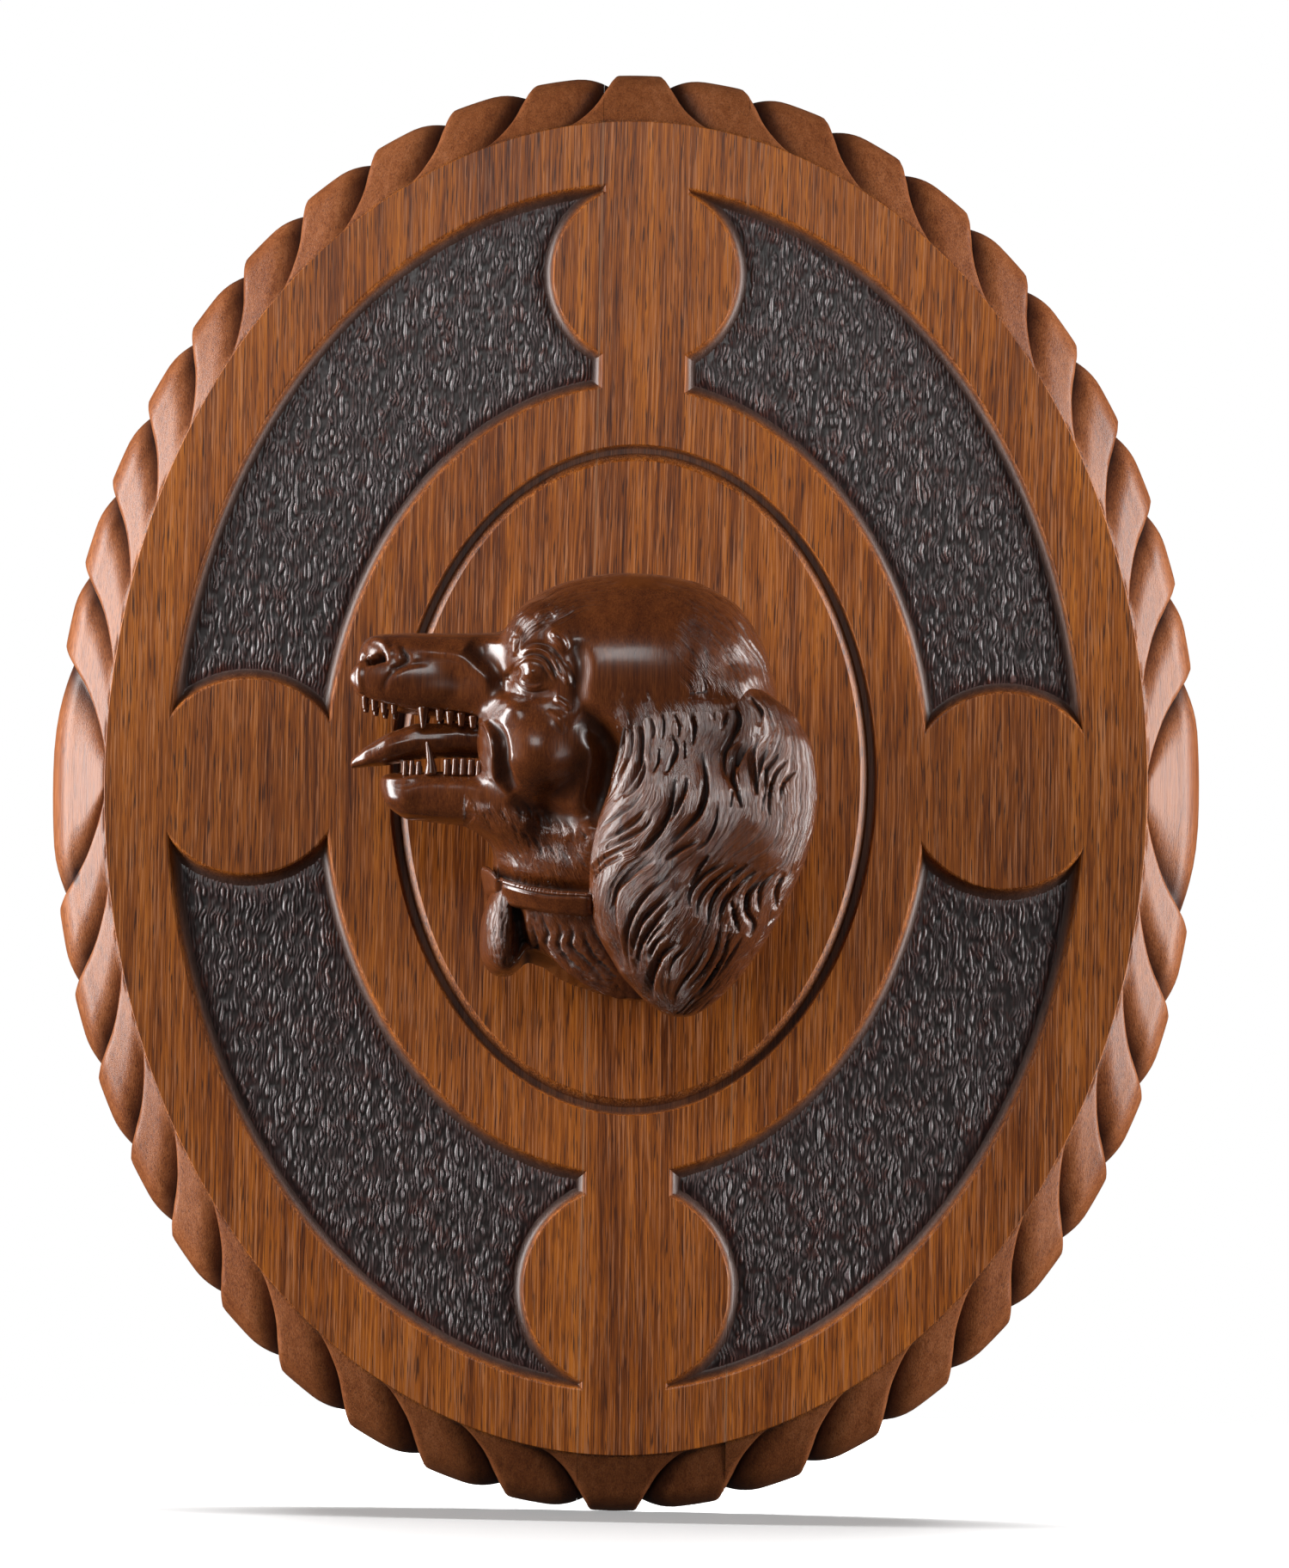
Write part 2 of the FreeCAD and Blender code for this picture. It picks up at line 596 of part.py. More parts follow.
def main():
    screw_bodies = []
    screws = []
    mouths = []
    for place, level in SCREW_PLACE_shares:
        x = head_x(place)
        z = head_z(level)
        body = screw_body(SCREW_RADIUS, SCREW_HEAD_RADIUS, SCREW_LENGTH, SCREW_SINK, x, z)
        screw_bodies.append(body)
        screws.append(slotted(body, SCREW_HEAD_RADIUS, SCREW_SINK, x, z))
        mouths.append(screw_mouth(SCREW_HEAD_RADIUS, SCREW_SINK, x, z))
    plate, plate_screws, hanger_cuts = hanger()
    pins = dowels()
    left, centre, right = staves(screw_bodies + mouths + hanger_cuts + pins)

    head = skull()
    throat = largest(neck().cut(head))
    far_ear = down_head(FAR_EAR_shares, EAR_FULLNESS_share)
    far_ear = largest(far_ear.cut([wall_side(), head, throat]))
    near_ear = down_head(NEAR_EAR_shares, EAR_FULLNESS_share)
    near_ear = largest(near_ear.cut([head, throat, far_ear]))
    jaw = largest(along_head(LOWER_JAW_shares).cut([head, throat]))
    tongue = largest(along_head(TONGUE_shares).cut([head, jaw, throat]))
    collar = largest(collar_band([head, throat, far_ear, near_ear, jaw]))
    upper_teeth = tooth_row(UPPER_TEETH_shares, -1)
    lower_teeth = [largest(tooth.cut([tongue, head])) for tooth in tooth_row(LOWER_TEETH_shares, 1)]

    export("stave_left", left)
    export("stave_centre", centre)
    export("stave_right", right)
    export("stave_dowels", Part.makeCompound(pins))
    export("skull", largest(head.cut(upper_teeth + screw_bodies)))
    export("neck", largest(throat.cut(screw_bodies)))
    export("far_ear", largest(far_ear.cut(screw_bodies)))
    export("near_ear", near_ear)
    export("lower_jaw", largest(jaw.cut(lower_teeth)))
    export("tongue", tongue)
    export("upper_teeth", Part.makeCompound(upper_teeth))
    export("lower_teeth", Part.makeCompound(lower_teeth))
    export("collar", collar)
    export("head_screws", Part.makeCompound(screws))
    export("hanger_plate", plate)
    export("hanger_screws", plate_screws)


main()
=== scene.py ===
# %% [markdown]
# # A carved walnut wall plaque with a hound's head
#
# The CAD model gives the plaque its true sizes: an oval board of three staves with a rope border,
# four sunk panels and an incised oval, and a head carved in the round. This script carves the
# surfaces that a plain CAD model leaves out, then gives each piece its wood and lights it.
# We load the CAD model first, because every piece here sits where the CAD piece sits.

# %% Load the CAD model
import json
import math

import bmesh
import bpy
import numpy as np
from mathutils import Matrix, Vector
from mathutils.bvhtree import BVHTree

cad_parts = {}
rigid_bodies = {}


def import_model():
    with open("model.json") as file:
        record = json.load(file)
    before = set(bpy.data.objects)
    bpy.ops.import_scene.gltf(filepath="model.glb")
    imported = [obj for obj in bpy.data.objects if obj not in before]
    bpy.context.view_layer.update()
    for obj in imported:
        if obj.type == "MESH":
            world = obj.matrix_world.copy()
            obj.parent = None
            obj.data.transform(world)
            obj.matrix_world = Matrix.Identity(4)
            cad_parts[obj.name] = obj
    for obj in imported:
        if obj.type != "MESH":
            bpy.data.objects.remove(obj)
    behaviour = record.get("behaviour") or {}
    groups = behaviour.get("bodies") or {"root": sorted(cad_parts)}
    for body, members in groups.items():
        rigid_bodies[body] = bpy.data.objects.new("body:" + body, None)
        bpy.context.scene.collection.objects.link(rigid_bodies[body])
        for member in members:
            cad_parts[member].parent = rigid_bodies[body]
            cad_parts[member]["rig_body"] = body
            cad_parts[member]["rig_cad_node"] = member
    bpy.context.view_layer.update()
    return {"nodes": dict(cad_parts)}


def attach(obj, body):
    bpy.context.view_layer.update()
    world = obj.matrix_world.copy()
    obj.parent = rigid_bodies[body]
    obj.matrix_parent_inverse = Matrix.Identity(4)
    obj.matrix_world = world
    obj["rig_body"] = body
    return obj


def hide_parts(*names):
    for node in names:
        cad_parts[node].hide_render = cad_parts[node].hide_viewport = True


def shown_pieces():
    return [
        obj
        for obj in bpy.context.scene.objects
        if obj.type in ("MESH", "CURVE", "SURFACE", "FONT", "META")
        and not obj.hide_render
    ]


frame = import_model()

# %% [markdown]
# ## The camera
#
# The photo was taken with a long lens from about four metres, with the plaque leaning back a few
# degrees, so the camera looks slightly up at it. It is aimed before anything is carved, because
# the carving strokes further down are placed by pixels of the photo.

# %% Aim the camera
CAMERA_DISTANCE = 4.0
METRES_PER_PIXEL = 0.0003644
PHOTO_HEIGHT = 1824
IMAGE_CENTRE = (750, 912)
SENSOR_HEIGHT_MM = 24
focal_pixels = CAMERA_DISTANCE / METRES_PER_PIXEL

lean = math.radians(4.3)
backwards = Vector((0, -math.cos(lean), -math.sin(lean)))
facing = (-backwards).to_track_quat("-Z", "Y").to_matrix() @ Matrix.Rotation(math.radians(1.1), 3, "Z")
eye = Vector((0, -0.0095, 0)) + backwards * CAMERA_DISTANCE + facing.col[0] * 0.00783 + facing.col[1] * 0.00219

bpy.ops.object.camera_add(location=eye, rotation=facing.to_euler())
camera = bpy.context.object
camera.data.sensor_width = SENSOR_HEIGHT_MM
camera.data.lens = focal_pixels * SENSOR_HEIGHT_MM / PHOTO_HEIGHT
bpy.context.scene.camera = camera
print("lens in mm", round(camera.data.lens, 1))


# %% [markdown]
# Two helpers turn points of the model into pixels of the photo, and back. The way back needs a
# depth, because a pixel is a whole line of sight.

# %% Between the model and the photo
EYE = np.array(eye)
FACING = np.array(facing)


def photo_pixels(points):
    """The pixel of the photo at which each point of the model is seen."""
    local = (points - EYE) @ FACING
    across = IMAGE_CENTRE[0] - focal_pixels * local[:, 0] / local[:, 2]
    down = IMAGE_CENTRE[1] + focal_pixels * local[:, 1] / local[:, 2]
    return np.column_stack((across, down))


def at_pixel(across, down, depth):
    """The point seen at a pixel, at a distance in front of the wall."""
    ray = FACING @ np.array(((across - IMAGE_CENTRE[0]) / focal_pixels, (IMAGE_CENTRE[1] - down) / focal_pixels, -1))
    return Vector(EYE + ray * ((-depth - EYE[1]) / ray[1]))


print("plaque centre is seen at", photo_pixels(np.array([[0, -0.0095, 0]])).round(1))

# %% [markdown]
# ## The board
#
# A carver marks the flat oval first, sinks the panels, and rolls the rim into a rope last. The
# measures below are those of the CAD board, in metres.

# %% Measures of the board
HALF_WIDTH = 0.243
HALF_HEIGHT = 0.305
THICKNESS = 0.034
ROPE_BAND = 0.023
FIELD_HALF_WIDTH = HALF_WIDTH - ROPE_BAND
FIELD_HALF_HEIGHT = HALF_HEIGHT - ROPE_BAND
SEAMS = (-0.015, 0.047)
PANEL_DEPTH = 0.0045
STRAP_X = 0.004
STRAP_HALF = 0.018

# Islands left standing in the sunk band: centre x, centre z, half width, half height
ISLANDS = {
    "middle": (0.0, 0.0025, 0.127, 0.167),
    "left_roundel": (-0.1595, 0.0005, 0.042, 0.042),
    "right_roundel": (0.1595, 0.0005, 0.042, 0.042),
    "top_roundel": (STRAP_X, 0.2170, 0.0392, 0.0392),
    "bottom_roundel": (STRAP_X, -0.2120, 0.0435, 0.0435),
}
SUNK_BAND = (0.0, 0.0, 0.193, 0.2545)

# How a panel's wall rolls over at its lip and sweeps into the floor: depth, distance inwards
WALL_PROFILE = (
    (-0.0040, -0.0030), (0.0, -0.0012), (0.0002, -0.0005), (0.0008, 0.0), (0.0018, 0.0004),
    (0.0028, 0.0010), (0.0036, 0.0019), (0.0042, 0.0031), (PANEL_DEPTH, 0.0045),
)


# %% [markdown]
# Every sunk or standing form of the board is an oval plug: a flat oval that is extruded step by
# step, and grown or shrunk at each step so that its wall follows a profile.

# %% Helpers for plugs and cuts
def select_only(*objects):
    bpy.ops.object.select_all(action="DESELECT")
    for chosen in objects:
        chosen.select_set(True)
    bpy.context.view_layer.objects.active = objects[0]


def keep_number(block, name, values):
    """Stores a number for each point, which the materials read."""
    attribute = block.data.attributes.get(name) or block.data.attributes.new(name, "FLOAT", "POINT")
    attribute.data.foreach_set("value", np.asarray(values, float))


def stepped_plug(name, place, steps, sides=360, square=False):
    """A plug from the front face backwards. place is centre x, centre z, half width, half height,
    and each step is a depth behind the front face and how much the half sizes grow."""
    x, z, half_width, half_height = place
    depth, grown = steps[0]
    bpy.ops.object.select_all(action="DESELECT")
    turn = (math.pi / 2, 0, 0)
    at = (x, depth - THICKNESS, z)
    if square:
        bpy.ops.mesh.primitive_plane_add(size=2, location=at, rotation=turn)
    else:
        bpy.ops.mesh.primitive_circle_add(vertices=sides, radius=1, fill_type="NGON", location=at, rotation=turn)
    plug = bpy.context.object
    plug.name = name
    plug.scale = (half_width + grown, half_height + (0 if square else grown), 1)
    bpy.ops.object.transform_apply(location=True, rotation=True, scale=True)
    bpy.ops.object.mode_set(mode="EDIT")
    bpy.ops.mesh.select_all(action="SELECT")
    for next_depth, next_grown in steps[1:]:
        bpy.ops.mesh.extrude_region_move(TRANSFORM_OT_translate={"value": (0, next_depth - depth, 0)})
        wider = (half_width + next_grown) / (half_width + grown)
        taller = 1 if square else (half_height + next_grown) / (half_height + grown)
        bpy.ops.transform.resize(value=(wider, 1, taller), center_override=(x, 0, z))
        depth, grown = next_depth, next_grown
    bpy.ops.mesh.select_all(action="SELECT")
    bpy.ops.mesh.normals_make_consistent(inside=False)
    bpy.ops.object.mode_set(mode="OBJECT")
    return plug


def cut_away(target, *tools):
    """Cuts the tools from the target, one after another, and removes them."""
    for tool in tools:
        select_only(target)
        change = target.modifiers.new("cut", "BOOLEAN")
        change.operation = "DIFFERENCE"
        change.solver = "EXACT"
        change.object = tool
        bpy.ops.object.modifier_apply(modifier=change.name)
        bpy.data.objects.remove(tool)


# %% [markdown]
# The four sunk panels are one wide sunk band from which the middle oval, four roundels and two
# straps are left standing. The islands go a little deeper than the band, so that they cut it through.

# %% Sink the panels
def islands_as_plugs():
    standing = ((-0.006, -0.0045),) + WALL_PROFILE[1:] + ((PANEL_DEPTH + 0.002, WALL_PROFILE[-1][1]),)
    plugs = [stepped_plug(name, place, standing, sides=320 if place[2] > 0.1 else 160) for name, place in ISLANDS.items()]
    for low, high in ((0.08, 0.27), (-0.27, -0.08)):
        place = (STRAP_X, (low + high) / 2, STRAP_HALF, (high - low) / 2)
        plugs.append(stepped_plug("strap", place, standing, square=True))
    return plugs


sunk = stepped_plug("sunk_panels", SUNK_BAND, [(depth, -inwards) for depth, inwards in WALL_PROFILE], sides=400)
cut_away(sunk, *islands_as_plugs())
print("sunk panels have", len(sunk.data.polygons), "faces")

# %% [markdown]
# The incised oval round the head is steep outside and slopes up gently inside, so only its
# outer wall throws a dark line.

# %% Cut the incised oval
RING = (0.003, 0.0025, 0.1025, 0.1415)
ring_outside = stepped_plug("ring_groove", RING, ((-0.004, 0.0010), (0, 0.0004), (0.0004, 0), (0.0026, -0.0006), (0.003, -0.0012)))
ring_inside = stepped_plug("ring_inside", RING, ((-0.006, -0.0120), (0, -0.0068), (0.0006, -0.0058), (0.0022, -0.0040), (0.0040, -0.0022)))
cut_away(ring_outside, ring_inside)

field = stepped_plug("field", (0, 0, FIELD_HALF_WIDTH, FIELD_HALF_HEIGHT),
                     ((0, -0.0004), (0.0001, -0.0002), (0.0004, 0), (0.0030, 0), (THICKNESS - 0.0002, -0.001)), sides=720)
cut_away(field, sunk, ring_outside)
print("field has", len(field.data.polygons), "faces")

# %% [markdown]
# ## The rope border
#
# The rope has forty-four strands, alike in each quarter. A grid is laid along the strands: one way
# goes along a strand from the flat front over the rim to the back, the other way goes round the
# oval from groove to groove. Each strand starts with a steep shoulder that rolls up from under its
# neighbour, and ends in a crisp edge, so the strands seem to lie over each other.

# %% Measures of the rope
STRANDS_PER_QUARTER = 11
GROOVE_DEPTH = 0.0056
OUTER_END = (0.028, 0.0854)
INNER_END = (0.082, 0.0900)

# Rows of the rim: place across the band, depth from the front, way along the groove, groove depth
RIM_ROWS = np.array((
    (0.00, 0.040, 0.00, 0.10), (0.05, 0.060, 0.10, 0.34), (0.28, 0.160, 0.45, 0.74),
    (0.56, 0.285, 0.72, 0.92), (0.76, 0.375, 0.85, 0.98), (0.88, 0.470, 0.92, 1.00),
    (0.96, 0.580, 0.98, 1.00), (1.00, 0.720, 1.03, 0.96), (0.98, 0.860, 1.11, 0.86), (0.92, 1.000, 1.20, 0.74),
))
ROUNDS = np.array((0, .008, .02, .04, .065, .095, .13, .17, .22, .28, .35, .43, .52, .61, .70, .77, .83, .88, .92, .95, .972, .988))


def smooth_rows(rows, count):
    """More rows on a smooth curve through the given ones."""
    lengths = np.r_[0, np.cumsum(np.hypot(*(np.diff(rows[:, :2], axis=0) * (ROPE_BAND, THICKNESS)).T))]
    slopes = np.gradient(rows, lengths, axis=0)
    places = np.linspace(0, lengths[-1], count)
    index = np.clip(np.searchsorted(lengths, places) - 1, 0, len(rows) - 2)
    span = (lengths[index + 1] - lengths[index])[:, None]
    part = ((places - lengths[index])[:, None]) / span
    return ((1 + 2 * part) * (1 - part) ** 2 * rows[index] + part * (1 - part) ** 2 * span * slopes[index]
            + part ** 2 * (3 - 2 * part) * rows[index + 1] - part ** 2 * (1 - part) * span * slopes[index + 1])


def groove_place(index, lead):
    """How far round its quarter a groove is, at a lead from its inner to its outer end."""
    inner = INNER_END[0] + INNER_END[1] * index
    outer = OUTER_END[0] + OUTER_END[1] * index
    beyond = max(lead - 1, 0) * outer / (inner - outer) / STRANDS_PER_QUARTER
    return inner + (outer - inner) * (min(lead, 1) + beyond)


def strand_height(part, kind):
    """The height of a strand over its grooves, from 0 to 1, along the way from its start to its end."""
    rolled = 1 - np.clip(1 - part / 0.44, 0, 1) ** 2.2
    crisp = 1 - np.clip((part - 0.84) / 0.16, 0, 1) ** 2.4
    if kind == "end lobe":
        rolled = 1 - np.clip(1 - part / 0.14, 0, 1) ** 2.6
    if kind == "side lobe":
        rolled = 1 - np.clip(1 - part / 0.24, 0, 1) ** 2.2
        crisp = rolled[::-1]
    return np.minimum(rolled, crisp) * (1 - 0.10 * (1 - part) * (kind == "strand"))


# %% [markdown]
# The grooves of one quarter are mirrored to the other three, and the grid is then bent from a
# flat sheet into the rim: one column for each line along a strand, one row for each line round it.

# %% Roll the rope round the oval
def strand_columns(lead):
    """For one row: how far round the whole oval, in quarters, each column is, and its height."""
    first = [groove_place(index, lead) for index in range(STRANDS_PER_QUARTER)]
    grooves = []
    for quarter in range(4):
        grooves += [quarter + place if quarter % 2 == 0 else quarter + 1 - place for place in first[::1 - 2 * (quarter % 2)]]
    grooves.append(4 + first[0])
    places, heights = [], []
    for index, (low, high) in enumerate(zip(grooves, grooves[1:])):
        quarter, strand = divmod(index, STRANDS_PER_QUARTER)
        middle = strand == STRANDS_PER_QUARTER - 1
        kind = ("side lobe" if quarter % 2 == 0 else "end lobe") if middle else "strand"
        part = 1 - ROUNDS if quarter % 2 and not middle else ROUNDS
        places.append(low + (high - low) * ROUNDS)
        heights.append(strand_height(part, kind))
    return np.concatenate(places), np.concatenate(heights)


def rope_points(rows):
    """All points of the rope's surface and how deep in a groove they lie, row by row from the flat
    front to the back."""
    turn = np.linspace(-0.5, 2 * math.pi + 0.5, 4000)
    slopes = np.gradient(rows[:, :2] * (ROPE_BAND, THICKNESS), axis=0)
    slopes /= np.hypot(*slopes.T)[:, None]
    points, sunken = [], []
    for (across, deep, lead, bite), (outwards, backwards_slope) in zip(rows, slopes):
        half_width = FIELD_HALF_WIDTH + across * ROPE_BAND
        half_height = FIELD_HALF_HEIGHT + across * ROPE_BAND
        walked = np.r_[0, np.cumsum(np.hypot(*np.diff((half_width * np.sin(turn), half_height * np.cos(turn)), axis=1)))]
        start, whole = np.interp((0, 2 * math.pi), turn, walked)
        places, heights = strand_columns(lead)
        angle = np.interp(start + places * (whole - start) / 4, walked, turn)
        sine, cosine = np.sin(angle), np.cos(angle)
        away = np.column_stack((half_height * sine, 0 * sine, half_width * cosine))
        away /= np.linalg.norm(away, axis=1)[:, None]
        lift = ((heights - 1) * bite * GROOVE_DEPTH)[:, None]
        middle = np.column_stack((half_width * sine, deep * THICKNESS - THICKNESS + 0 * sine, half_height * cosine))
        points.append(middle + away * backwards_slope * lift + np.array((0, -outwards, 0)) * lift)
        sunken.append((1 - heights) * bite)
    return points, sunken


def rope_ring():
    """The whole rope as one closed ring, its inner side buried in the board."""
    rings, sunken = rope_points(smooth_rows(RIM_ROWS, 30))
    inwards = np.array((1 - 0.004 / HALF_WIDTH, 1, 1 - 0.004 / HALF_HEIGHT))
    rings += [rings[-1] * (inwards[0] ** 8, 1, inwards[2] ** 8), rings[0] * inwards]
    rings.append(rings[0])
    sunken += [sunken[-1], sunken[0], sunken[0]]
    columns = len(rings[0])
    bpy.ops.object.select_all(action="DESELECT")
    bpy.ops.mesh.primitive_grid_add(x_subdivisions=columns, y_subdivisions=len(rings) - 1, size=2)
    ring = bpy.context.object
    ring.name = "rope"
    flat = np.empty(len(ring.data.vertices) * 3)
    ring.data.vertices.foreach_get("co", flat)
    flat = flat.reshape(-1, 3)
    column = np.rint((flat[:, 0] + 1) / 2 * columns).astype(int) % columns
    row = np.rint((flat[:, 1] + 1) / 2 * (len(rings) - 1)).astype(int)
    ring.data.vertices.foreach_set("co", np.array(rings)[row, column].ravel())
    keep_number(ring, "groove", np.array(sunken)[row, column])
    bpy.ops.object.mode_set(mode="EDIT")
    bpy.ops.mesh.select_all(action="SELECT")
    bpy.ops.mesh.remove_doubles(threshold=0.00001)
    bpy.ops.mesh.normals_make_consistent(inside=False)
    bpy.ops.object.mode_set(mode="OBJECT")
    return ring


rope = rope_ring()
print("rope has", len(rope.data.polygons), "faces, half sizes in mm",
      [round(max(abs(corner[axis]) for corner in rope.bound_box) * 1000, 1) for axis in (0, 2)])

# %% [markdown]
# ## Three staves
#
# Board and rope are sawn along the two glue joints, so that each stave is a piece of its own, as
# in the CAD model. A hair's breadth is left at each joint, because a real glue line shows.

# %% Saw the board into staves
keep_number(field, "groove", np.zeros(len(field.data.vertices)))
select_only(field, rope)
bpy.ops.object.join()
board = bpy.context.object
GLUE_LINE = 0.00006


def sawn(name, low, high):
    """A copy of the board between two seams."""
    piece = board.copy()
    piece.data = board.data.copy()
    piece.name = "carved_" + name
    bpy.context.scene.collection.objects.link(piece)
    select_only(piece)
    bpy.ops.object.mode_set(mode="EDIT")
    for seam, inner in ((low, False), (high, True)):
        if abs(seam) < HALF_WIDTH:
            bpy.ops.mesh.select_all(action="SELECT")
            bpy.ops.mesh.bisect(plane_co=(seam, 0, 0), plane_no=(1, 0, 0), use_fill=True,
                                clear_inner=not inner, clear_outer=inner)
    bpy.ops.object.mode_set(mode="OBJECT")
    for face in piece.data.polygons:
        for seam, way in ((low, -1), (high, 1)):
            if abs(face.center.x - seam) < 0.000001 and face.normal.x * way < 0:
                face.flip()          # the sawn face points away from its stave
    piece.data.validate()
    bpy.ops.object.shade_smooth_by_angle(angle=math.radians(32))
    even = piece.modifiers.new("even", "WEIGHTED_NORMAL")
    even.mode = "FACE_AREA"
    even.keep_sharp = True
    bpy.ops.object.modifier_apply(modifier=even.name)
    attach(piece, "root")
    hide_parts(name)
    return piece


staves = [
    sawn("stave_left", -1, SEAMS[0] - GLUE_LINE),
    sawn("stave_centre", SEAMS[0] + GLUE_LINE, SEAMS[1] - GLUE_LINE),
    sawn("stave_right", SEAMS[1] + GLUE_LINE, 1),
]
bpy.data.objects.remove(board)
print("stave triangles", [sum(len(face.vertices) - 2 for face in stave.data.polygons) for stave in staves])

# %% [markdown]
# ## The matted floors of the panels
#
# The sunk floors are punched all over with a matting tool, so that they look rough and dark beside
# the planed field. Each panel gets a fine sheet that lies on its floor and runs a little way into
# the walls. Its points are raised into short upright ridges that wander and break off.

# %% Lay the matted floors
MATTING = {"across": 0.00040, "up": 0.00080, "height": 0.00075, "sink": 0.0005}
BURIED = 0.0016


def hash_grid(column, row, seed):
    value = np.sin(column * 127.1 + row * 311.7 + seed * 74.7) * 43758.5453
    return value - np.floor(value)


def soft_noise(across, up, seed):
    """Smooth repeatable noise over a plane, from 0 to 1."""
    column, row = np.floor(across), np.floor(up)
    x, y = across - column, up - row
    x, y = x * x * (3 - 2 * x), y * y * (3 - 2 * y)
    low = hash_grid(column, row, seed) * (1 - x) + hash_grid(column + 1, row, seed) * x
    high = hash_grid(column, row + 1, seed) * (1 - x) + hash_grid(column + 1, row + 1, seed) * x
    return low * (1 - y) + high * y


def inside_wall(x, z):
    """Distance from a place on the floor to the nearest wall line, above 0 inside a panel."""
    def oval_gap(place):
        centre_x, centre_z, half_width, half_height = place
        across, up = (x - centre_x) / half_width, (z - centre_z) / half_height
        reach = np.hypot(across, up)
        steep = np.hypot(across / half_width, up / half_height) / np.maximum(reach, 1e-9)
        return (reach - 1) / np.maximum(steep, 1e-9)
    gap = -oval_gap(SUNK_BAND)
    for place in ISLANDS.values():
        gap = np.minimum(gap, oval_gap(place))
    return np.minimum(gap, np.maximum(np.abs(x - STRAP_X) - STRAP_HALF, -1))


def matting_height(x, z):
    """Ridges of the matting, from 0 to 1: short, upright and wandering, with pits between them."""
    bend = (soft_noise(x / 0.0050, z / 0.0060, 1) - 0.5) * 1.5 + (soft_noise(x / 0.0020, z / 0.0028, 2) - 0.5) * 0.8
    ridges = 0.5 + 0.5 * np.cos(2 * np.pi * (x / 0.00145 + bend))
    broken = soft_noise(x / 0.0012, z / 0.0030, 4)
    return ridges ** 1.2 * np.clip(broken * 1.8 - 0.25, 0, 1)


def matted_floor(name, low_x, high_x, low_z, high_z):
    columns, rows = round((high_x - low_x) / MATTING["across"]), round((high_z - low_z) / MATTING["up"])
    bpy.ops.object.select_all(action="DESELECT")
    bpy.ops.mesh.primitive_grid_add(x_subdivisions=columns, y_subdivisions=rows, size=2,
                                    location=((low_x + high_x) / 2, 0, (low_z + high_z) / 2), rotation=(math.pi / 2, 0, 0))
    sheet = bpy.context.object
    sheet.name = name
    sheet.scale = ((high_x - low_x) / 2, (high_z - low_z) / 2, 1)
    bpy.ops.object.transform_apply(location=True, rotation=True, scale=True)
    points = np.empty(len(sheet.data.vertices) * 3)
    sheet.data.vertices.foreach_get("co", points)
    points = points.reshape(-1, 3)
    gap = inside_wall(points[:, 0], points[:, 2])
    height = matting_height(points[:, 0], points[:, 2])
    calm = np.clip((gap - 0.0035) / 0.003, 0, 1)
    points[:, 1] = -THICKNESS + PANEL_DEPTH - MATTING["sink"] * calm - height * MATTING["height"] * (0.25 + 0.75 * calm)
    points[:, 1] += 0.0006 * (1 - np.clip(gap / 0.0035, 0, 1))
    sheet.data.vertices.foreach_set("co", points.ravel())
    edit = bmesh.new()
    edit.from_mesh(sheet.data)
    edit.verts.ensure_lookup_table()
    outside = [edit.verts[index] for index in np.flatnonzero(gap < BURIED)]
    bmesh.ops.delete(edit, geom=outside, context="VERTS")
    rim = [edge for edge in edit.edges if edge.is_boundary]
    skirt = bmesh.ops.extrude_edge_only(edit, edges=rim)["geom"]
    for point in (item for item in skirt if isinstance(item, bmesh.types.BMVert)):
        point.co.y = -THICKNESS + PANEL_DEPTH + 0.001
    bmesh.ops.recalc_face_normals(edit, faces=edit.faces)
    edit.to_mesh(sheet.data)
    edit.free()
    keep_number(sheet, "ridge", matting_height(*np.array([(v.co.x, v.co.z) for v in sheet.data.vertices]).T))
    keep_number(sheet, "near_wall", 1 - np.clip(inside_wall(*np.array([(v.co.x, v.co.z) for v in sheet.data.vertices]).T) / 0.012, 0, 1))
    select_only(sheet)
    bpy.ops.object.shade_smooth()
    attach(sheet, "root")
    print(name, "has", sum(len(face.vertices) - 2 for face in sheet.data.polygons), "triangles")
    return sheet


floors = [
    matted_floor("matted_floor_left_top", -0.194, -0.014, 0.0, 0.256),
    matted_floor("matted_floor_right_top", 0.022, 0.194, 0.0, 0.256),
    matted_floor("matted_floor_left_bottom", -0.194, -0.014, -0.256, 0.0),
    matted_floor("matted_floor_right_bottom", 0.022, 0.194, -0.256, 0.0),
]
# %% [markdown]
# ## Carving the head
#
# The head starts as the CAD masses, joined and remeshed into one even skin. It is then worked as a
# carver works it: large rounds first, then edges and folds, then hair. Each stroke is a path over
# the photo, with a width in pixels and a height in millimetres, and moves the skin in or out. The
# far side of the head is never seen in the photo, so it gets the same strokes as a mirror image.

# %% Make a carving block from CAD nodes
MIDDLE_Y = -0.094
MM = 0.001


def carving_block(name, nodes, skin, grown=0.0):
    """Copies of CAD nodes, a little grown so that they run together, remeshed to an even skin."""
    copies = []
    for node in nodes:
        piece = frame["nodes"][node].copy()
        piece.data = piece.data.copy()
        piece.parent = None
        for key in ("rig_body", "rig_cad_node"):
            if key in piece:
                del piece[key]
        piece.data.materials.clear()
        bpy.context.scene.collection.objects.link(piece)
        select_only(piece)
        bpy.ops.object.mode_set(mode="EDIT")
        bpy.ops.mesh.select_all(action="SELECT")
        bpy.ops.mesh.remove_doubles(threshold=0.00001)
        bpy.ops.transform.shrink_fatten(value=grown)
        bpy.ops.object.mode_set(mode="OBJECT")
        copies.append(piece)
    select_only(*copies)
    bpy.ops.object.join()
    block = bpy.context.object
    block.name = name
    block.data.name = name
    bpy.ops.mesh.customdata_custom_splitnormals_clear()      # else the CAD's facets stay in the shading
    block.data.remesh_voxel_size = skin
    bpy.ops.object.voxel_remesh()
    return block


